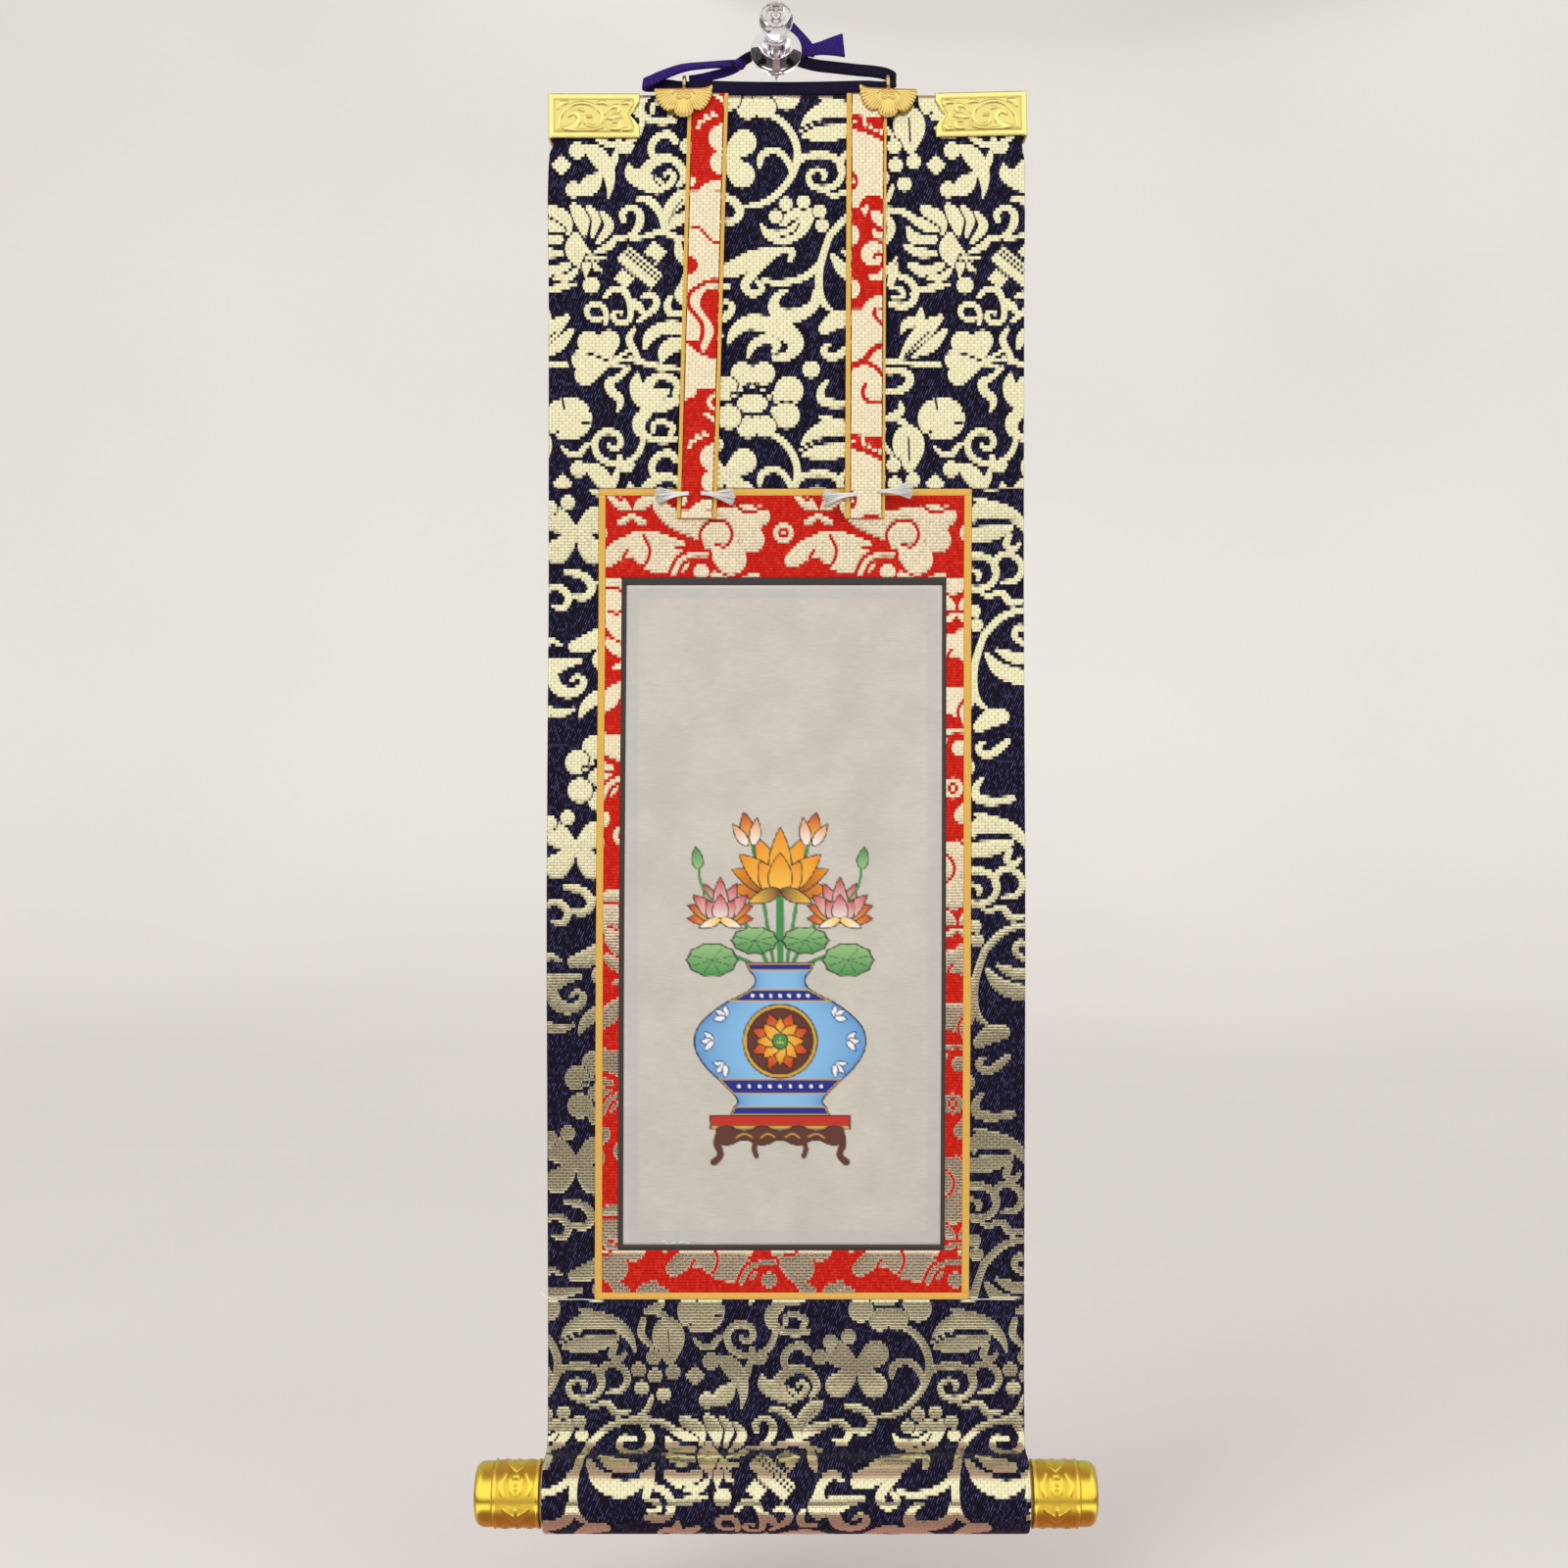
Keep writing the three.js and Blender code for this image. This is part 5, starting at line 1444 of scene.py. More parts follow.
# %% The vase and its stand
VASE = np.array([(32.0, 6.6), (33.0, 6.2), (35.0, 4.9), (37.0, 5.6), (40.0, 11.0), (44.0, 15.6),
                 (48.0, 16.6), (52.0, 14.6), (56.0, 10.6), (59.0, 8.2), (60.2, 9.0), (61.6, 9.6)])
half = soft(*VASE.T)(picture.y)        # half width of the vase at each height
steep = np.gradient(half, picture.STEP, axis=0)
vase = np.maximum((abs(picture.x) - half) / np.sqrt(1 + steep ** 2),
                  np.maximum(VASE[0, 0] - picture.y, picture.y - VASE[-1, 0]))
side_shade = np.clip(abs(picture.x) / (half + .01), 0, 1) ** 3
picture.shape(vase, tinted(PALE_BLUE, SHADE_BLUE, side_shade), wide=.3)
for top, low in ((32.0, 33.4), (37.2, 39.4), (54.6, 57.4), (60.0, 61.6)):
    band = np.maximum(vase + .15, np.maximum(top - picture.y, picture.y - low))
    picture.shape(band, DEEP_BLUE, OLD_GOLD, .2)
for y, gap, count in ((38.3, 1.8, 4), (56.0, 2.0, 5)):
    picture.brush([[(gap * k, y, .7), (gap * k + .01, y, .7)] for k in range(count)], WHITE)
for side in (-1, 1):
    for x, y, lean_by in ((10.6,42.6,50), (13,47.2,90), (10.6,51.8,130)):
        for turn in (-48, 0, 48):
            picture.petal(side * x, y, 2.5, 1.25, side * (lean_by + turn), WHITE, WHITE, DEEP_BLUE)

ring_distance = np.hypot(picture.x, picture.y - 47.2)
picture.shape(ring_distance - 7.2, OLD_GOLD)
picture.shape(ring_distance - 6.4, BROWN)
for start, long, wide, base, end in [(22.5, 5.9, 2.9, ORANGE, RED), (0, 4.6, 2.4, YELLOW, ORANGE)]:
    for turn in range(0, 360, 45):
        picture.petal(0, 47.2, long, wide, turn + start, base, end)
picture.shape(ring_distance - 1.5, GREEN)
picture.brush([[(x, y, .36), (x + .01, y, .36)] for x, y in ((0,46.6), (.5,47.5), (0,47.4))], YELLOW)

picture.shape(picture.slab(13.6, 63.0, 1.3), RED)
picture.shape(picture.slab(13.4, 63.9, .35), OLD_GOLD, wide=.16)
apron = picture.slab(12.4, 65.6, 1.4 - .5 * np.cos(picture.x * .9))
picture.shape(apron, BROWN)
picture.brush([
    [(11.6,64.6,1.7), (12.2,67.2,1.5), (11.6,69.4,1.3), (12.8,70.8,1.5)],
    [(4.6,66.2,1.2), (5,68.2,1), (4.6,69.6,1.1)]], BROWN)
picture.brush([
    [(1,65.9,.2), (2.4,65.3,.34), (3.8,66,.2)], [(5.4,65.9,.2), (7,65.3,.34), (8.6,66,.2)]], OLD_GOLD)
print("picture covers", round(float(picture.cover.mean()), 2), "of its canvas")

# %% [markdown]
# The sheet gets fine faces only where the picture is. Each of its points then keeps the
# colour and the cover of its place on the canvas.

# %% Paper panel
PICTURE_MIDDLE, PICTURE_TOP, FINE, PLAIN = 0.7, -143.2, 0.24, 0.62


def mixed(*marks):
    """Steps between four marks: coarse, then fine across the picture, then coarse."""
    spans = zip(marks, marks[1:], (PLAIN, FINE, PLAIN))
    steps = [np.linspace(a, b, round(abs(b - a) / apart) + 1)[:-1] for a, b, apart in spans]
    return np.concatenate([*steps, marks[-1:]])


heights = mixed(PAPER_TOP + HALF, PICTURE_TOP, PICTURE_TOP - picture.high, PAPER_END - HALF)
path = beside(depth(heights), heights)
reach = mixed(float(paper_rows[:, 2].mean()), PICTURE_MIDDLE - picture.wide / 2,
              PICTURE_MIDDLE + picture.wide / 2, float(paper_rows[:, 3].mean()))
paper = cloth("paper_panel", "picture_paper", path, heights[0] - heights,
              frame_line("picture_paper", 2, -HALF), frame_line("picture_paper", 3, HALF),
              None, NO_PHASE, picture_paper_look, "paper", roll=0.06,
              shares=(reach - reach[0]) / (reach[-1] - reach[0]))
spots = points_of(paper)
right = (spots[:, 0] - PICTURE_MIDDLE + picture.wide / 2) / picture.STEP
down = (PICTURE_TOP - spots[:, 2]) / picture.STEP
rows, columns = picture.cover.shape
inside = (right > 0) & (right < columns - 1) & (down > 0) & (down < rows - 1)
inside &= np.arange(len(spots)) < len(heights) * len(reach)      # the front only
i, j = right[inside].astype(int), down[inside].astype(int)
ink, cover = np.ones((len(spots), 4)), np.zeros(len(spots))
ink[inside, :3], cover[inside] = picture.ink[j, i], picture.cover[j, i]
paper.data.attributes.new("ink", "FLOAT_COLOR", "POINT").data.foreach_set("color", ink.ravel())
spread(paper, "cover", cover)
print("points that carry the picture", int(inside.sum()))

# %% [markdown]
# ## The studio
#
# A wide pale bowl stands below and behind the scroll, and three soft lamps light it. Gilt thread
# shows what surrounds it, so the surround is bright from just below eye level upwards and in a
# low band, and dark between them. That is what makes the gold dim and glow by turns.

# %% Floor, light and what surrounds them
FLOOR_BELOW, ROOM, RISE = 22.0, 1500.0, 1400.0


def floor_look():
    """Nearly flat pale grey with the faintest cloudiness."""
    cloud = noise(place_mm(), 0.004, 2.0)
    return {"Base Color": blend(cloud, colour(226, 224, 220), colour(236, 234, 231)),
            "Roughness": 0.9}


pale_floor = finish("pale_floor", floor_look)
around = circle(96)
profile = np.array([[0.01, 0], [700, 0], [1000, 0], [1200, 30], [1350, 120], [1440, 260],
                    [1490, 450], [ROOM, 700], [ROOM, RISE]])
bowl = beside(profile[:, :1] * np.cos(around), profile[:, :1] * np.sin(around),
              profile[:, 1:] + float(cad_low.z) / MM - FLOOR_BELOW)
floor = placed("floor", smooth_mesh("floor", bowl, rings(*bowl.shape[:2])[:-1], pale_floor))
floor.visible_glossy = floor.visible_diffuse = floor.visible_shadow = False


def soft_light(name, place, aim, size, watts):
    """A square lamp that faces a point."""
    lamp = placed(name, bpy.data.lights.new(name, "AREA"))
    lamp.data.size, lamp.data.energy = size, watts
    lamp.location = place
    lamp.rotation_euler = (Vector(aim) - Vector(place)).to_track_quat("-Z", "Y").to_euler()
    lamp.visible_glossy = False


soft_light("lamp_high_left", (-0.55, -0.75, 0.55), (0, 0, -0.12), 0.5, 4.2)
soft_light("lamp_right", (0.8, -0.7, 0.1), (0, 0, -0.16), 0.7, 2.2)
soft_light("lamp_behind", (0.2, 1.1, 0.9), (0, 0, -0.14), 1.0, 3.0)

world = fresh(bpy.data.worlds.new("studio"))
bpy.context.scene.world = world
_, toward, height = parts(Wire.node("TexCoord", out="Generated"))
upper = height.fade(-0.115, -0.035) * (1.0 - height.fade(0.80, 0.97) * 0.7)
lower = height.fade(-0.72, -0.60) * (1.0 - height.fade(-0.36, -0.30))
lit = upper.math("MAXIMUM", lower)
below = 1.0 - height.fade(-0.80, -0.68)
behind = toward.fade(-0.15, 0.25)
level = behind * 0.45 + (1.0 - behind) * (0.03 + upper * 1.03 + lower * 1.25 + below * 0.26)
surround = blend(lit, (1.0, 0.42, 0.46), (1.0, 0.99, 0.96))
backdrop = Wire.node("Background", None, {"Color": surround, "Strength": level})
Wire.node("OutputWorld", None, {"Surface": backdrop})
bpy.context.scene.view_settings.view_transform = "Standard"
print("the bowl is", 2 * ROOM * MM, "m across")

# %% [markdown]
# ## Gilt fittings
#
# Corner plates, fan washers and roller caps are thin gilt brass, stamped with a raised pattern.
# Gilt brass is nearly all reflection: a warm base colour, full metal, low roughness. Over that
# its roughness changes slowly, and it is browner in the hollows.

# %% Finish of the gilt
def gilt_look(bright, deep, rough):
    """Polished gold that is browner and duller in the hollows of the stamping."""
    def look():
        here = place_mm()
        cloud = noise(here, 0.35, 3.0)
        fine = noise(here, 6.0, 2.0)
        hollow = kept("hollow")
        tone = (cloud - 0.5) * 0.4 + hollow * 0.75
        return {"Base Color": blend(tone.math("MAXIMUM", 0.0).math("MINIMUM", 1.0), bright, deep),
                "Metallic": 1.0, "Roughness": rough + cloud * 0.08 + hollow * 0.16,
                "Normal": bumped(0.25, 0.00004, fine * (1.0 + hollow * 2.0))}
    return look


plate_gilt = finish("plate_gilt", gilt_look((1.0, 0.93, 0.34), (0.78, 0.55, 0.12), 0.22))
fan_gilt = finish("fan_gilt", gilt_look((1.0, 0.76, 0.25), (0.45, 0.25, 0.06), 0.24))
cap_gilt = finish("cap_gilt", gilt_look((1.0, 0.80, 0.10), (0.66, 0.24, 0.02), 0.22))


def plain_metal(tint, rough):
    """Drawn metal: one colour, slightly scuffed."""
    def look():
        scuff = noise(place_mm(), 2.5, 3.0)
        return {"Base Color": blend(scuff, tuple(t * 0.8 for t in tint), tint), "Metallic": 1.0,
                "Roughness": rough + scuff * 0.12}
    return look


brass = finish("brass_wire", plain_metal((0.86, 0.62, 0.26), 0.22))
steel = finish("pin_steel", plain_metal((0.78, 0.78, 0.80), 0.18))
print("nodes in a plain metal", len(Wire.tree.nodes))

# %% [markdown]
# ## Stamped sheet
#
# A stamping has height but no undercuts, so a chart serves here too: strokes are drawn, and
# the distance to their edge is turned into a rounded shoulder. The same strokes give the
# hollows their darker tone.

# %% From a chart to stamped height
def stamped(chart, x, y, soft_edge=0.35):
    """Height share from 0 to 1: full a soft edge inside the stroke, nothing outside it."""
    share = np.clip(0.5 - chart.at(x, y) / soft_edge, 0, 1)
    return share * share * (3 - 2 * share)


def skin(name, node, outer, inner, look, hollow):
    """A closed gilt shell between two grids of one size, joined along their four edges."""
    rows, columns = outer.shape[:2]
    count = rows * columns
    a = np.arange(count).reshape(rows, columns)
    b = a + count
    rims = [(a[0], b[0]), (a[:, -1], b[:, -1]), (a[-1, ::-1], b[-1, ::-1]), (a[::-1, 0], b[::-1, 0])]
    walls = [beside(top[:-1], top[1:], low[1:], low[:-1]) for top, low in rims]
    faces = np.concatenate([quads(rows, columns), quads(rows, columns, count, flip=True), *walls])
    piece = put(name, node, np.concatenate([outer.reshape(-1, 3), inner.reshape(-1, 3)]),
                faces.tolist(), look, "gilt")
    spread(piece, "hollow", np.concatenate([hollow.ravel(), np.zeros(count)]))


def turned(grid, degrees):
    """A grid of points turned about Y: x cos - z sin and x sin + z cos."""
    tilt, x, z = math.radians(degrees), grid[..., 0], grid[..., 2]
    return beside(x * math.cos(tilt) - z * math.sin(tilt), grid[..., 1],
                  x * math.sin(tilt) + z * math.cos(tilt))


# %% [markdown]
# ## Corner plates
#
# One strip of metal is folded round each end of the head. Its front is stamped with a vine that
# runs up from the lower outer corner and curls into a spiral, inside a raised border line. The
# inner end is cut like a ribbon's.

# %% Chart of the corner plates
PLATE_LONG, PLATE_TALL, PLATE_THICK, PLATE_DEEP, NOTCH = 17.65, 8.6, 0.4, 6.4, 1.8
plate_chart = Chart(20.0, 12.0)
VINE = [
    [(1.9,6.9,.35), (2.6,4.2,.5), (4.8,2.2,.55), (7.6,2,.6), (9.9,3.3,.6), (10.4,5.2,.55), (9,6.4,.5),
     (7.3,5.9,.45), (7.2,4.6,.4), (8.4,4.5,.4)],
    [(2.6,6.8,.3), (4.6,6.6,1.1), (6,5.2,.8), (5.2,3.8,.9), (3.9,4.4,.4)],
    [(1.9,2.9,.4), (2.6,2,.9), (3.8,1.8,.4)],
    [(3.4,7,.3), (6,7.2,.5), (8.6,7.1,.4), (10.6,6.6,.3)],
    [(10.8,4,.4), (12.2,2.8,.6), (13.4,2.6,.8), (13.6,3.6,.5), (12.6,3.8,.4)],
    [(10.9,5.8,.4), (12.3,6.8,.6), (13.8,6.6,.8), (13.6,5.6,.5), (12.5,5.6,.4)],
    [(14.3,2,.5), (15.6,1.9,.7), (16.2,2.6,.3)],
    [(14.5,7,.5), (15.6,6.9,.7), (15.9,6.2,.3)],
    [(11.2,4.9,.3), (12.6,4.7,.9), (14.2,4.5,.3)],
    [(5.8,3.1,.3), (6.8,3.2,.6)], [(9.2,2,.3), (10.6,1.8,.7), (11.4,2.2,.3)],
]
plate_chart.strokes(VINE)
border = Chart(20.0, 12.0)
INSET, FAR_X, LOW_Y = 1.15, 16.3, 7.45      # where the raised border line runs
border.strokes([
    [(INSET, INSET), (FAR_X, INSET)], [(INSET, INSET), (INSET, LOW_Y)], [(INSET, LOW_Y), (FAR_X, LOW_Y)],
    [(FAR_X, INSET), (16.5,2), (15.3,4.2)], [(15.3,4.2), (16.5,6.6), (FAR_X, LOW_Y)]], .22)
print("gold line covers", round(float((plate_chart.edge < 0).mean()), 2), "of the plate's chart")

LEAF = np.linspace(0, 1, 178)


def folded(offset, ends):
    """One shell of the folded strip, seen from above: back leaf, round corner, end, front leaf.
    x and y for every height; the leaves stop at `ends`, the shell is drawn in by the offset."""
    radius = 0.5
    turn = np.radians(np.linspace(0, 90, 6))
    reach, back, front = radius - offset, -offset, offset - PLATE_DEEP
    corner_x = np.concatenate([radius - reach * np.sin(turn), radius - reach * np.cos(turn)])
    corner_y = np.concatenate([back - reach * (1 - np.cos(turn)), front + reach * (1 - np.sin(turn))])
    leaf = radius + (ends[:, None] - radius) * LEAF
    coarse = leaf[:, ::-30]
    x = np.hstack([coarse[:, :-1], np.broadcast_to(corner_x, (len(ends), 12)), leaf[:, 1:]])
    y = np.concatenate([np.full(coarse.shape[1] - 1, back), corner_y, np.full(len(LEAF) - 1, front)])
    return x, y


def corner_plate(name, node, side):
    """Outer and inner shells on one grid; the front leaf is pushed out by the stamped height."""
    low, high = box(node)
    cross = np.linspace(PLATE_TALL / 2, -PLATE_TALL / 2, 88)
    notch = np.interp(cross, [-2.15, -1.0, 0.1, 1.2, 2.67], [0, .75, NOTCH, .85, 0])
    ends = PLATE_LONG - notch
    shells = [beside(*folded(offset, ends), cross[:, None]) for offset in (0.0, PLATE_THICK)]
    x, z = shells[0][..., 0], shells[0][..., 2]
    down = PLATE_TALL / 2 - z
    edge = np.minimum(np.minimum(x, ends[:, None] - x), PLATE_TALL / 2 - abs(z))
    figure, line = stamped(plate_chart, x, down), stamped(border, x, down, .2)
    height = np.where(edge > .3, 0.24 * figure - 0.16 * line, 0)
    height -= 0.24 * np.exp(-np.maximum(edge, 0) / 0.14)
    is_front = np.arange(x.shape[1]) >= x.shape[1] - len(LEAF) + 1
    shells[0][..., 1] -= height * is_front
    hollow = (0.5 * (1 - figure) * (edge > INSET) + line) * is_front
    half, lean_in = PLATE_TALL / 2, 0.0 if side > 0 else 1.4
    top = turned(np.array([0, 0, half]), lean_in)
    origin = np.array([low[0] if side > 0 else high[0] + top[0], 0, high[2] - top[2]])
    shells = [origin + turned(shell * [side, 1, 1], lean_in)[:, ::side] for shell in shells]
    skin(name, node, *shells, plate_gilt, hollow[:, ::side])


corner_plate("gilt_plate_left", "corner_plate_left", 1)
corner_plate("gilt_plate_right", "corner_plate_right", -1)

# %% [markdown]
# ## Fan washers
#
# Under each ring sits a stamped half flower. Some twenty-five flutes run out from the middle of
# its straight top, between three scalloped lobes, and a small double curl covers the place
# where they start. A grid of angle and distance follows the flutes exactly.

# %% Fan washers
FAN_TALL, FAN_THICK, FAN_BACK, FAN_TOP, FLUTES, FAN_NOTCHES = 5.62, 0.5, -7.3, -6.65, 25, (64, 116)
fan_chart = Chart(12.0, 8.0)        # the curl; its middle is at (6, 0.6) on the tile
fan_chart.strokes([
    [(6,1.9), (5.5,1.5), (4.9,1.6), (4.7,2), (5,2.4), (5.6,2.3), (6,1.9)],
    [(6,1.9), (6.5,1.5), (7.1,1.6), (7.3,2), (7,2.4), (6.4,2.3), (6,1.9)],
    [(3.9,1.5), (4.4,.9), (5,1.1), (5.5,.8), (6,1.1), (6.5,.8), (7,1.1), (7.6,.9), (8.1,1.5)]], .34)


def fan_reach(angle):
    """Distance from the middle of the top to the rim: two notches part three lobes, and each
    flute ends in a small round."""
    turn = np.degrees(angle)
    notches = sum(np.exp(-np.abs((turn - place) / 8) ** 1.5) for place in FAN_NOTCHES)
    rounds = 0.16 * (np.abs(np.sin(FLUTES * angle)) - 1)
    return FAN_TALL * (1 - 0.17 * notches) + rounds


def fan_washer(name, node, tilt):
    """Grid of angle by distance: front pushed out by flutes, a dished rim and the curl."""
    low, high = box(node)
    angle = np.linspace(0, math.pi, 301)[:, None]
    share = np.linspace(0.02, 1, 46)[None]
    reach = fan_reach(angle) * share
    x, z = reach * np.cos(angle), -reach * np.sin(angle)
    flute = np.abs(np.sin(angle * FLUTES))
    bulge = 0.22 * np.sin(share * math.pi) ** 0.7
    rim = 0.20 * np.exp(-(1 - share) / 0.05)
    begins = np.clip(share * 2.2 - 0.75, 0, 1)
    height = bulge + 0.11 * (flute - 0.5) * begins - rim
    curl = stamped(fan_chart, x + 6.0, 0.4 - z, .2)
    height = height + 0.16 * curl
    top_edge = np.clip(-z / 0.35, 0, 1)
    height = height * top_edge - 0.15 * (1 - top_edge)
    inner = math.pi if tilt < 0 else 0
    lip = 0.62 * np.exp(-((angle - inner) / 0.09) ** 2) * share ** 6
    front = beside(x, FAN_BACK - FAN_THICK - height, z + lip)
    back = beside(x, FAN_BACK, z + lip)
    groove = np.clip((0.42 - flute) * 2.4, 0, 1) * begins
    outline = np.clip(1 - abs(fan_chart.at(x + 6.0, 0.4 - z)) / 0.09, 0, 1)
    origin = np.array([(low[0] + high[0]) / 2, 0, FAN_TOP])
    skin(name, node, *(origin + turned(grid, tilt) for grid in (front, back)), fan_gilt,
         np.maximum(groove, outline * 0.9))


fan_washer("gilt_fan_left", "fan_washer_left", 0.8)
fan_washer("gilt_fan_right", "fan_washer_right", -2.0)

# %% [markdown]
# Each washer has a tab bent back over the hem, which the ring's shank goes through.

# %% Tabs of the washers
TAB_HALF, TAB_SOFT, TAB_THICK = 1.5, 0.2, 0.2


def tab(name, node):
    """A slim plate with softened edges, from the fan's back to behind the shank."""
    low, high = box(node)
    y = np.linspace(FAN_BACK - .2, high[1], 12)
    x = np.linspace(-TAB_HALF, TAB_HALF, 12)
    near = np.minimum(TAB_HALF - abs(x), TAB_SOFT) / TAB_SOFT
    top = FAN_TOP - 0.06 * (1 - near[None]) + 0 * y[:, None]
    outer = beside(*np.meshgrid((low[0] + high[0]) / 2 + x, y), top)[::-1]
    skin(name, None, outer, outer - [0, 0, TAB_THICK], fan_gilt, np.zeros(outer.shape[:2]))


for side in ("left", "right"):
    tab("gilt_tab_" + side, "fan_washer_" + side)
print("fans reach", round(float(fan_reach(math.pi / 2)), 2), "mm down from their tops")

# %% [markdown]
# ## Roller caps
#
# Spun cups with a smooth rounded end, a groove, and a stamped zone of lotus pods between pairs
# of petals that run all the way round. The zone is a chart wrapped on the cylinder.

# %% Roller caps
CAP_LONG, CAP_BAND, CAP_ROUND = 12.5, 3.5, 1.8             # lengths along the axis
ZONE_STEPS, BAND_STEPS = 74, 8                             # points along the zone and the band
LIP, ZONE, GROOVE, CAP_END = 6.5, 6.3, 6.05, 6.15          # radii
PETALS = 20.4                                              # one repeat round the cap
cap_chart = Chart(PETALS, 9.0)      # x round the cap, y from the cloth to the band
cap_chart.strokes([
    [(2.6,4.4,2.2), (4.6,4.4,2.4)], [(1.4,2.2,.5), (3.6,1.6,.8), (6,2.4,.4)],
    [(1.4,6.8,.5), (3.6,7.3,.8), (6,6.4,.4)], [(6.6,4.4,.4), (9,3.2,1.3), (11.2,2.6,.5)],
    [(6.6,4.4,.4), (9,5.6,1.3), (11.2,6.2,.5)], [(8.2,4.4,.4), (10.4,4.4,1), (12.4,4.4,.4)],
    [(12.4,2.2,.5), (13.6,1.4,.6), (15,1.8,.6), (15.2,3,.5), (14.2,3.2,.4)],
    [(12.4,6.6,.5), (13.6,7.4,.6), (15,7,.6), (15.2,5.8,.5), (14.2,5.6,.4)],
    [(16.2,4.4,.5), (17.8,3.4,1.2), (19.4,2,.4)], [(16.2,4.4,.5), (17.8,5.4,1.2), (19.4,6.8,.4)],
    [(17.4,4.4,.5), (19.4,4.4,.8)], [(12.6,4.4,.8), (14.6,4.4,.6)]])
for x in (2.2, 3.6, 5.0):
    cap_chart.dot(x, 4.4, .42, cut=True)
cap_chart.stroke([(1.5,4.4), (5.9,4.4)], .16, cut=True)


def roller_cap(name, node, side):
    """Profile of radius along the axis, turned round it; the stamped zone adds its height."""
    low, high = box(node)
    start = low[0] if side > 0 else high[0]
    cup = CAP_LONG - CAP_BAND
    end = np.radians(np.linspace(0, 90, 12))[1:]
    along = np.concatenate([[0, .05, .45, .55, .7], np.linspace(.8, cup - .75, ZONE_STEPS),
                            [cup - .6, cup - .45, cup - .25, cup - .1, cup + .05],
                            np.linspace(cup + .2, CAP_LONG - CAP_ROUND, BAND_STEPS),
                            CAP_LONG - CAP_ROUND + CAP_ROUND * np.sin(end)])
    radius = np.concatenate([[ZONE + .05, LIP, LIP, ZONE + .04, ZONE], np.full(ZONE_STEPS, ZONE),
                             [ZONE, LIP, LIP, GROOVE + .15, GROOVE], np.full(BAND_STEPS, CAP_END),
                             CAP_END - CAP_ROUND + CAP_ROUND * np.cos(end)])[:, None]
    angle = np.linspace(0, math.tau, 289)[:-1][::-side]
    along, wide = along[:, None], angle * (PETALS * 2) / math.tau
    figure = stamped(cap_chart, wide, along, .5)
    zone = (along > .8) & (along < cup - .75)
    raised = radius + 0.2 * figure * zone
    outer = beside(start + side * along, roller_middle[0] - raised * np.cos(angle),
                   roller_middle[1] + raised * np.sin(angle))
    piece = put(name, node, outer, rings(*outer.shape[:2]), cap_gilt, "gilt")
    groove = (along > cup - .2) & (along < cup + .15)
    spread(piece, "hollow", ((1 - figure) * 0.5 * zone + groove * .9).ravel())


roller_cap("gilt_cap_right", "roller_cap_right", 1)
roller_cap("gilt_cap_left", "roller_cap_left", -1)
print("the caps' chart goes twice round", round(math.tau * ZONE, 1), "mm")

# %% [markdown]
# ## Silk tufts
#
# Each strip is caught down at its lower corners by a tied silk thread whose ends are fluffed
# into a small brush. Every filament is a hair-thin tube from the tie to the brush's end.

# %% Finish of the white silk
def tuft_look():
    """Off-white silk, brighter along the filaments."""
    hair = noise(vector("MULTIPLY", place_mm(), (2.0, 2.0, 9.0)), 1.0, 2.0)
    return {"Base Color": blend(hair, colour(226, 226, 222), colour(252, 252, 250)),
            "Roughness": 0.42, "Sheen Weight": 0.5, "Sheen Roughness": 0.35}


white_silk = finish("white_silk", tuft_look)
print("nodes in the silk", len(Wire.tree.nodes))

# %% [markdown]
# The filaments are spread by chance, but from one seed, so they fall the same way each time.

# %% Tufts
TUFT_LONG, TUFT_BRUSH, FILAMENTS = 6.8, 3.3, 170
chance = np.random.default_rng(7)


def filaments(start, stop, sway, steps=9, thick=0.075):
    """Thin three-sided tubes along quadratic curves between start and stop points."""
    t = np.linspace(0, 1, steps)[None, :, None]
    line = start[:, None] * (1 - t) ** 2 + sway[:, None] * 2 * t * (1 - t) + stop[:, None] * t ** 2
    along = unit(np.gradient(line, axis=1))
    side = unit(np.cross(along, [0.0, 1.0, 0.01]))
    other = np.cross(along, side)
    ring = np.radians([0, 120, 240])
    taper = thick * (1 - 0.55 * t[..., None])
    tubes = line[:, :, None] + taper * (side[:, :, None] * np.cos(ring)[:, None]
                                        + other[:, :, None] * np.sin(ring)[:, None])
    *walls, foot, tip = rings(steps, 3)
    first = np.arange(len(start))[:, None, None] * steps * 3
    return tubes, ((first + walls).reshape(-1, 4).tolist()
                   + (first + [foot, tip]).reshape(-1, 3).tolist())


def tuft(name, node, direction):
    """Filaments leave a narrow neck, gather in it, and fan out into the brush."""
    low, high = box(node)
    side = 1 if math.cos(math.radians(direction)) > 0 else -1
    root = (low + high) / 2
    root[0] = low[0] if side > 0 else high[0]
    turn = math.radians(direction)
    ahead, deeper, up = np.array([math.cos(turn), 0, math.sin(turn)]), np.eye(3)[1], np.eye(3)[2]
    root = root - up * math.sin(turn) * TUFT_LONG / 2
    fan = chance.uniform(-1, 1, (FILAMENTS, 1))
    deep = chance.uniform(-.42, .42, (FILAMENTS, 1))
    reach = TUFT_LONG - 0.1 - chance.uniform(0, .9, (FILAMENTS, 1)) - 0.5 * abs(fan)
    start = root + chance.uniform(-1, 1, (FILAMENTS, 3)) * [.2, .25, .32]
    stop = root + ahead * reach + up * fan * TUFT_BRUSH / 2 + deeper * deep
    sway = root + ahead * TUFT_LONG * .42 + up * fan * .30 + deeper * deep * .6
    put(name, node, *filaments(start, stop, sway), white_silk, "silk")


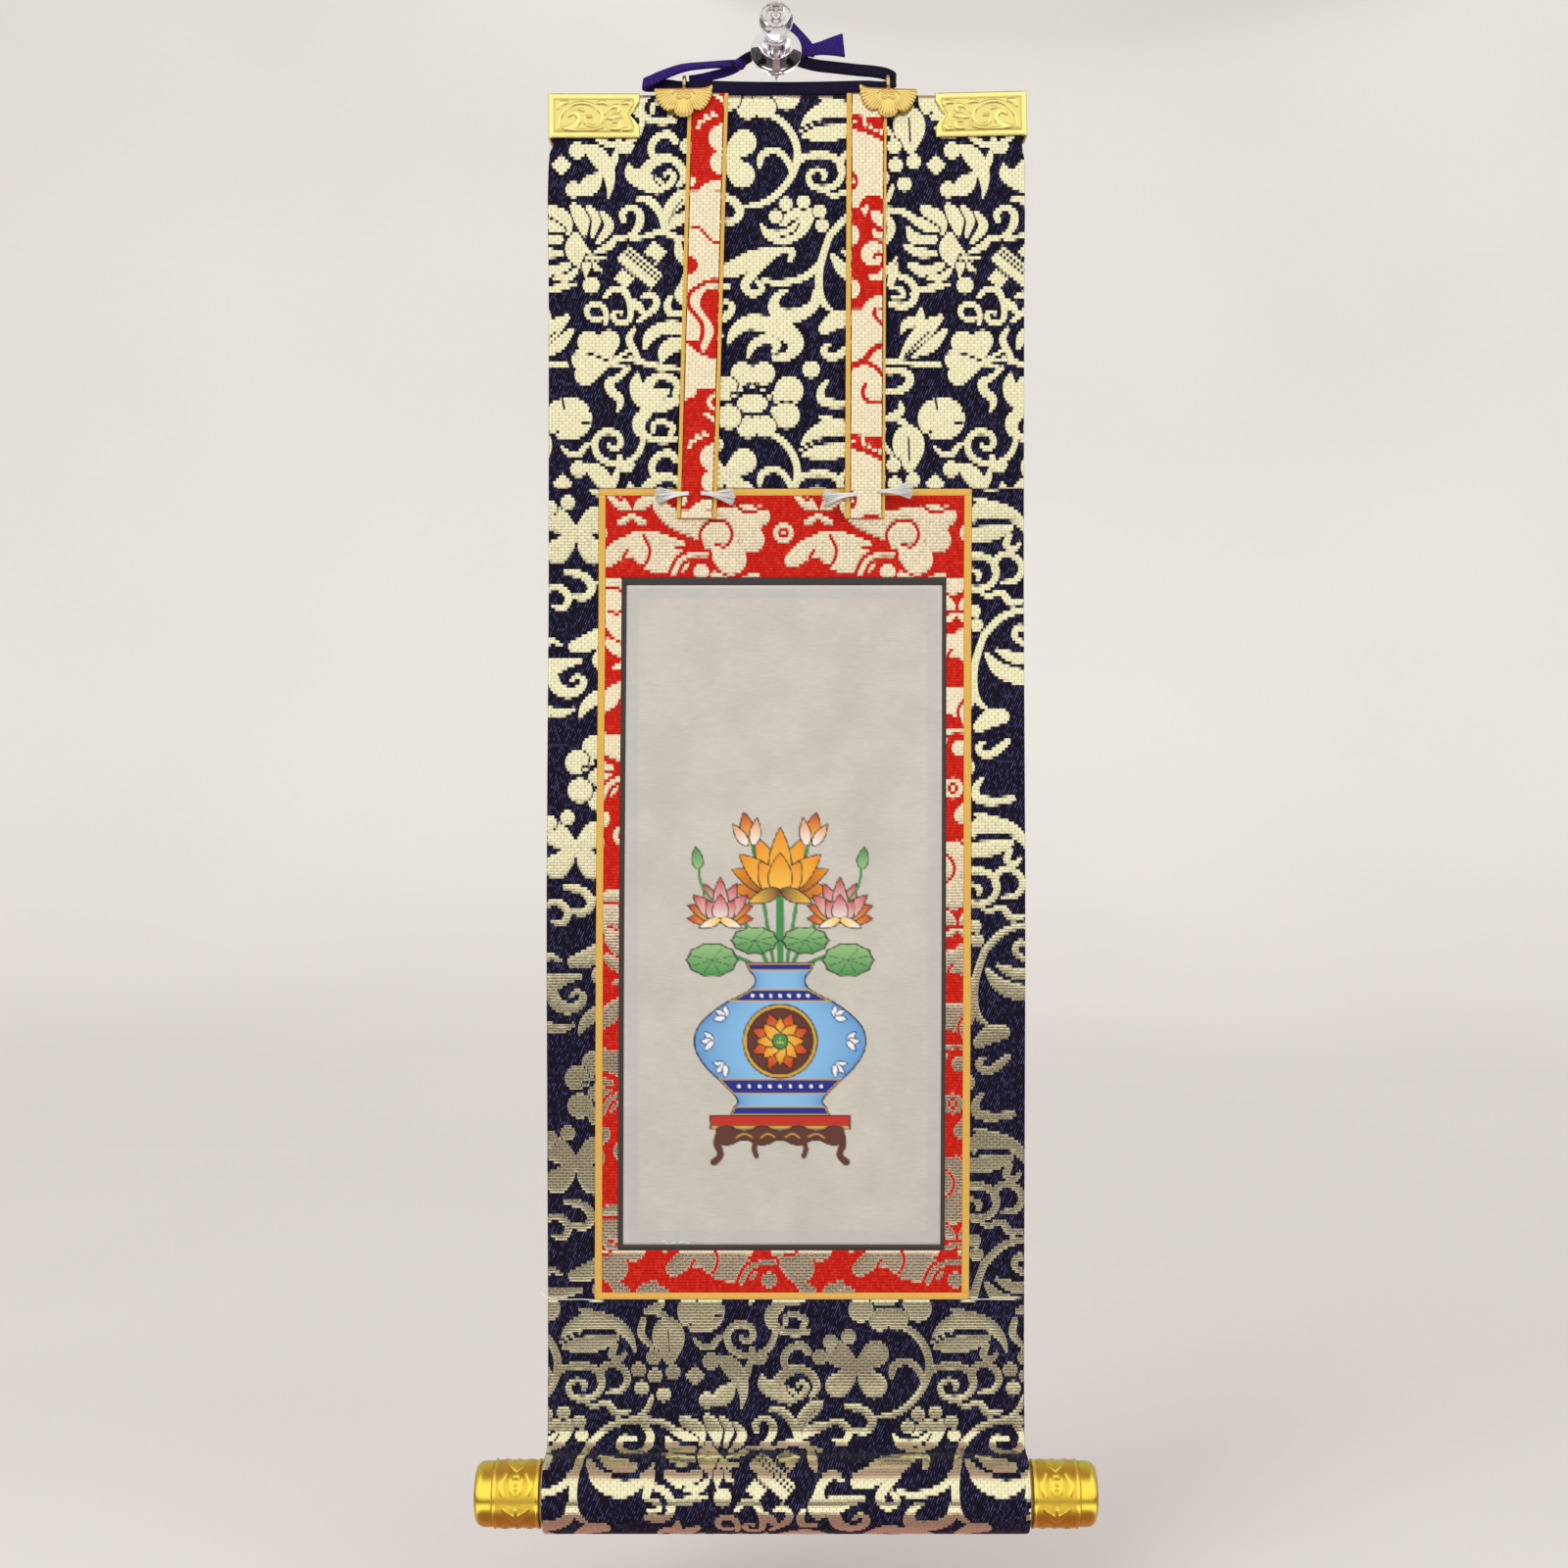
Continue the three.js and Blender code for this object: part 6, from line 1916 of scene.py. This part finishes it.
for node, direction in [("tuft_left_outer", 184), ("tuft_left_inner", -7),
                        ("tuft_right_inner", 187), ("tuft_right_outer", 2)]:
    tuft("silk_" + node, node, direction)
print("filaments in each tuft", FILAMENTS)

# %% [markdown]
# ## The push pin, the rings and the wood
#
# The pin's head is clear acrylic, turned from one profile, with a steel needle. The rings are
# fixed solids that are already right, so they only get brass. So do the needle and the wood.

# %% Clear pin head
def acrylic_look():
    """Clear plastic: light goes through, with a hard gloss and the faintest scuffs."""
    scuff = noise(place_mm(), 1.5, 2.0)
    return {"Base Color": (0.97, 0.975, 0.98, 1.0), "Roughness": 0.03 + scuff * 0.04,
            "IOR": 1.49, "Transmission Weight": 1.0}


acrylic = finish("clear_acrylic", acrylic_look)
LIFT, OUTSIDE, INSIDE, BORE = 14.0, 4.45, 5.0, 0.85
outline = through([(4.9, 0.0), (4.9, 1.2), (4.3, 1.8), (3.0, 3.0), (2.3, 5.0), (2.2, 8.0),
                   (2.6, 9.5), (3.1, 10.5), (3.15, 12.0), (2.6, 13.6), (1.5, 14.5), (.02, 14.8)],
                  8)
flange = np.array([[BORE * .02, INSIDE], [BORE * .98, INSIDE], [BORE, INSIDE - .05], [BORE, .05],
                   [BORE + .05, 0], [2.5, 0], [4.8, 0]])
pin_profile = np.vstack([flange, outline]) + [0, OUTSIDE]
axis = np.array([0, -math.cos(math.radians(LIFT)), math.sin(math.radians(LIFT))])
one = np.array([1.0, 0, 0])
two = np.cross(axis, one)
around = circle(96)
rim = one * np.cos(around)[:, None] + two * np.sin(around)[:, None]
pin_points = axis * pin_profile[:, None, 1:] + rim * pin_profile[:, None, :1]
put("clear_pin_head", "pin_head", pin_points, rings(*pin_points.shape[:2]), acrylic, "acrylic")
print("pin axis", axis.round(3), "box", box("pin_head"))


def wood_look():
    """Pale straight-grained softwood, its lines running along the scroll's width."""
    grain = noise(vector("MULTIPLY", place_mm(), (0.05, 1.6, 1.6)), 1.0, 3.0)
    return {"Base Color": blend(grain, colour(186, 150, 104), colour(222, 192, 148)),
            "Roughness": 0.6}


wood = finish("pale_wood", wood_look)
for node, look in [("ring_left", brass), ("ring_right", brass), ("pin_needle", steel),
                   ("stave", wood), ("roller", wood)]:
    fixed = frame["nodes"][node]
    fixed.data.materials.clear()
    fixed.data.materials.append(look)

# %% [markdown]
# ## Loose threads
#
# A hand-made piece shows where it was sewn. A thin white thread follows the lower seam at the
# two pillars, and its end sticks out at the left. A few stitches show at the black line.

# %% Threads along the seams
THREAD_THICK = 0.16


def thread(name, pins):
    """A round thread carried along a few points."""
    pins = [(*pin, 0, THREAD_THICK) for pin in pins]
    points, maps, line = ribbon(pins, 6, around=6, thick=THREAD_THICK, swell=0.0)
    tube(name, None, points, maps, white_silk, "silk")
    print(name, round(run_of(line)[-1], 1), "mm")


seam_z, STITCH_Z = float(SEAM_BOTTOM), -229.8
seam_y = float(depth(seam_z)) - CLOTH / 2
for name, pins in [
        ("left", [(-45.9, .3, 1.4), (-45.2, -.1, .7), (-43.6, -.12, .1), (-41.0, -.12, 0),
                  (-38.0, -.12, .05), (-35.6, -.1, -.1)]),
        ("right", [(37.2, -.1, -.1), (40.0, -.12, .05), (43.5, -.12, 0), (46.6, -.05, -.05)])]:
    thread("thread_seam_" + name, [(x, seam_y + y, seam_z + z) for x, y, z in pins])
stitch_y = float(depth(STITCH_Z)) - CLOTH / 2 - .1
for number, (low_x, high_x, rise) in enumerate([(-22.4, -21.2, .2), (-20.6, -19.6, -.1),
                                                (-19.0, -16.9, .05)]):
    thread(f"stitch_{number}", [(low_x, stitch_y, STITCH_Z - .1 + rise),
                                ((low_x + high_x) / 2, stitch_y - .1, STITCH_Z + .1 + rise),
                                (high_x, stitch_y, STITCH_Z - .1 - rise)])

# %% [markdown]
# ## Cut sizes
#
# The size each cloth and paper is cut to before it hangs is printed. The frame's
# bands are what shows of them. Last, the frame's box is printed.

# %% Sheets
def declare(piece, wide, long, shown=None):
    """Prints the size in mm a sheet is cut to. Narrow cuts are given as 10 mm wide; their true area goes
    unused.
    """
    area = None if shown is None else shown * long * MM * MM
    wide * MM
    long * MM
    print(piece.name, "is cut", wide, "by", long, "mm")


declare(top_cloth, 92.5, 98.0)
declare(bottom_cloth, 93.0, 67.0)
declare(pillar_left, 10.0, 158.0, 9.5)
declare(pillar_right, 10.3, 158.0)
declare(paper, 61.6, 128.4)
for side, wide, long, shown in [("top", 15.9, 71.0, None), ("bottom", 10.0, 70.5, 8.3),
                                ("left", 10.0, 139.0, 3.2), ("right", 10.0, 139.0, 3.45)]:
    declare(band_pieces["inner_" + side], wide, long, shown)
for side in ("left", "right"):
    strip = strip_pieces["futai_" + side]
    declare(strip, 10.0, 81.6, 7.7)

# %% Sizes
print("frame box", cad_low, cad_high)
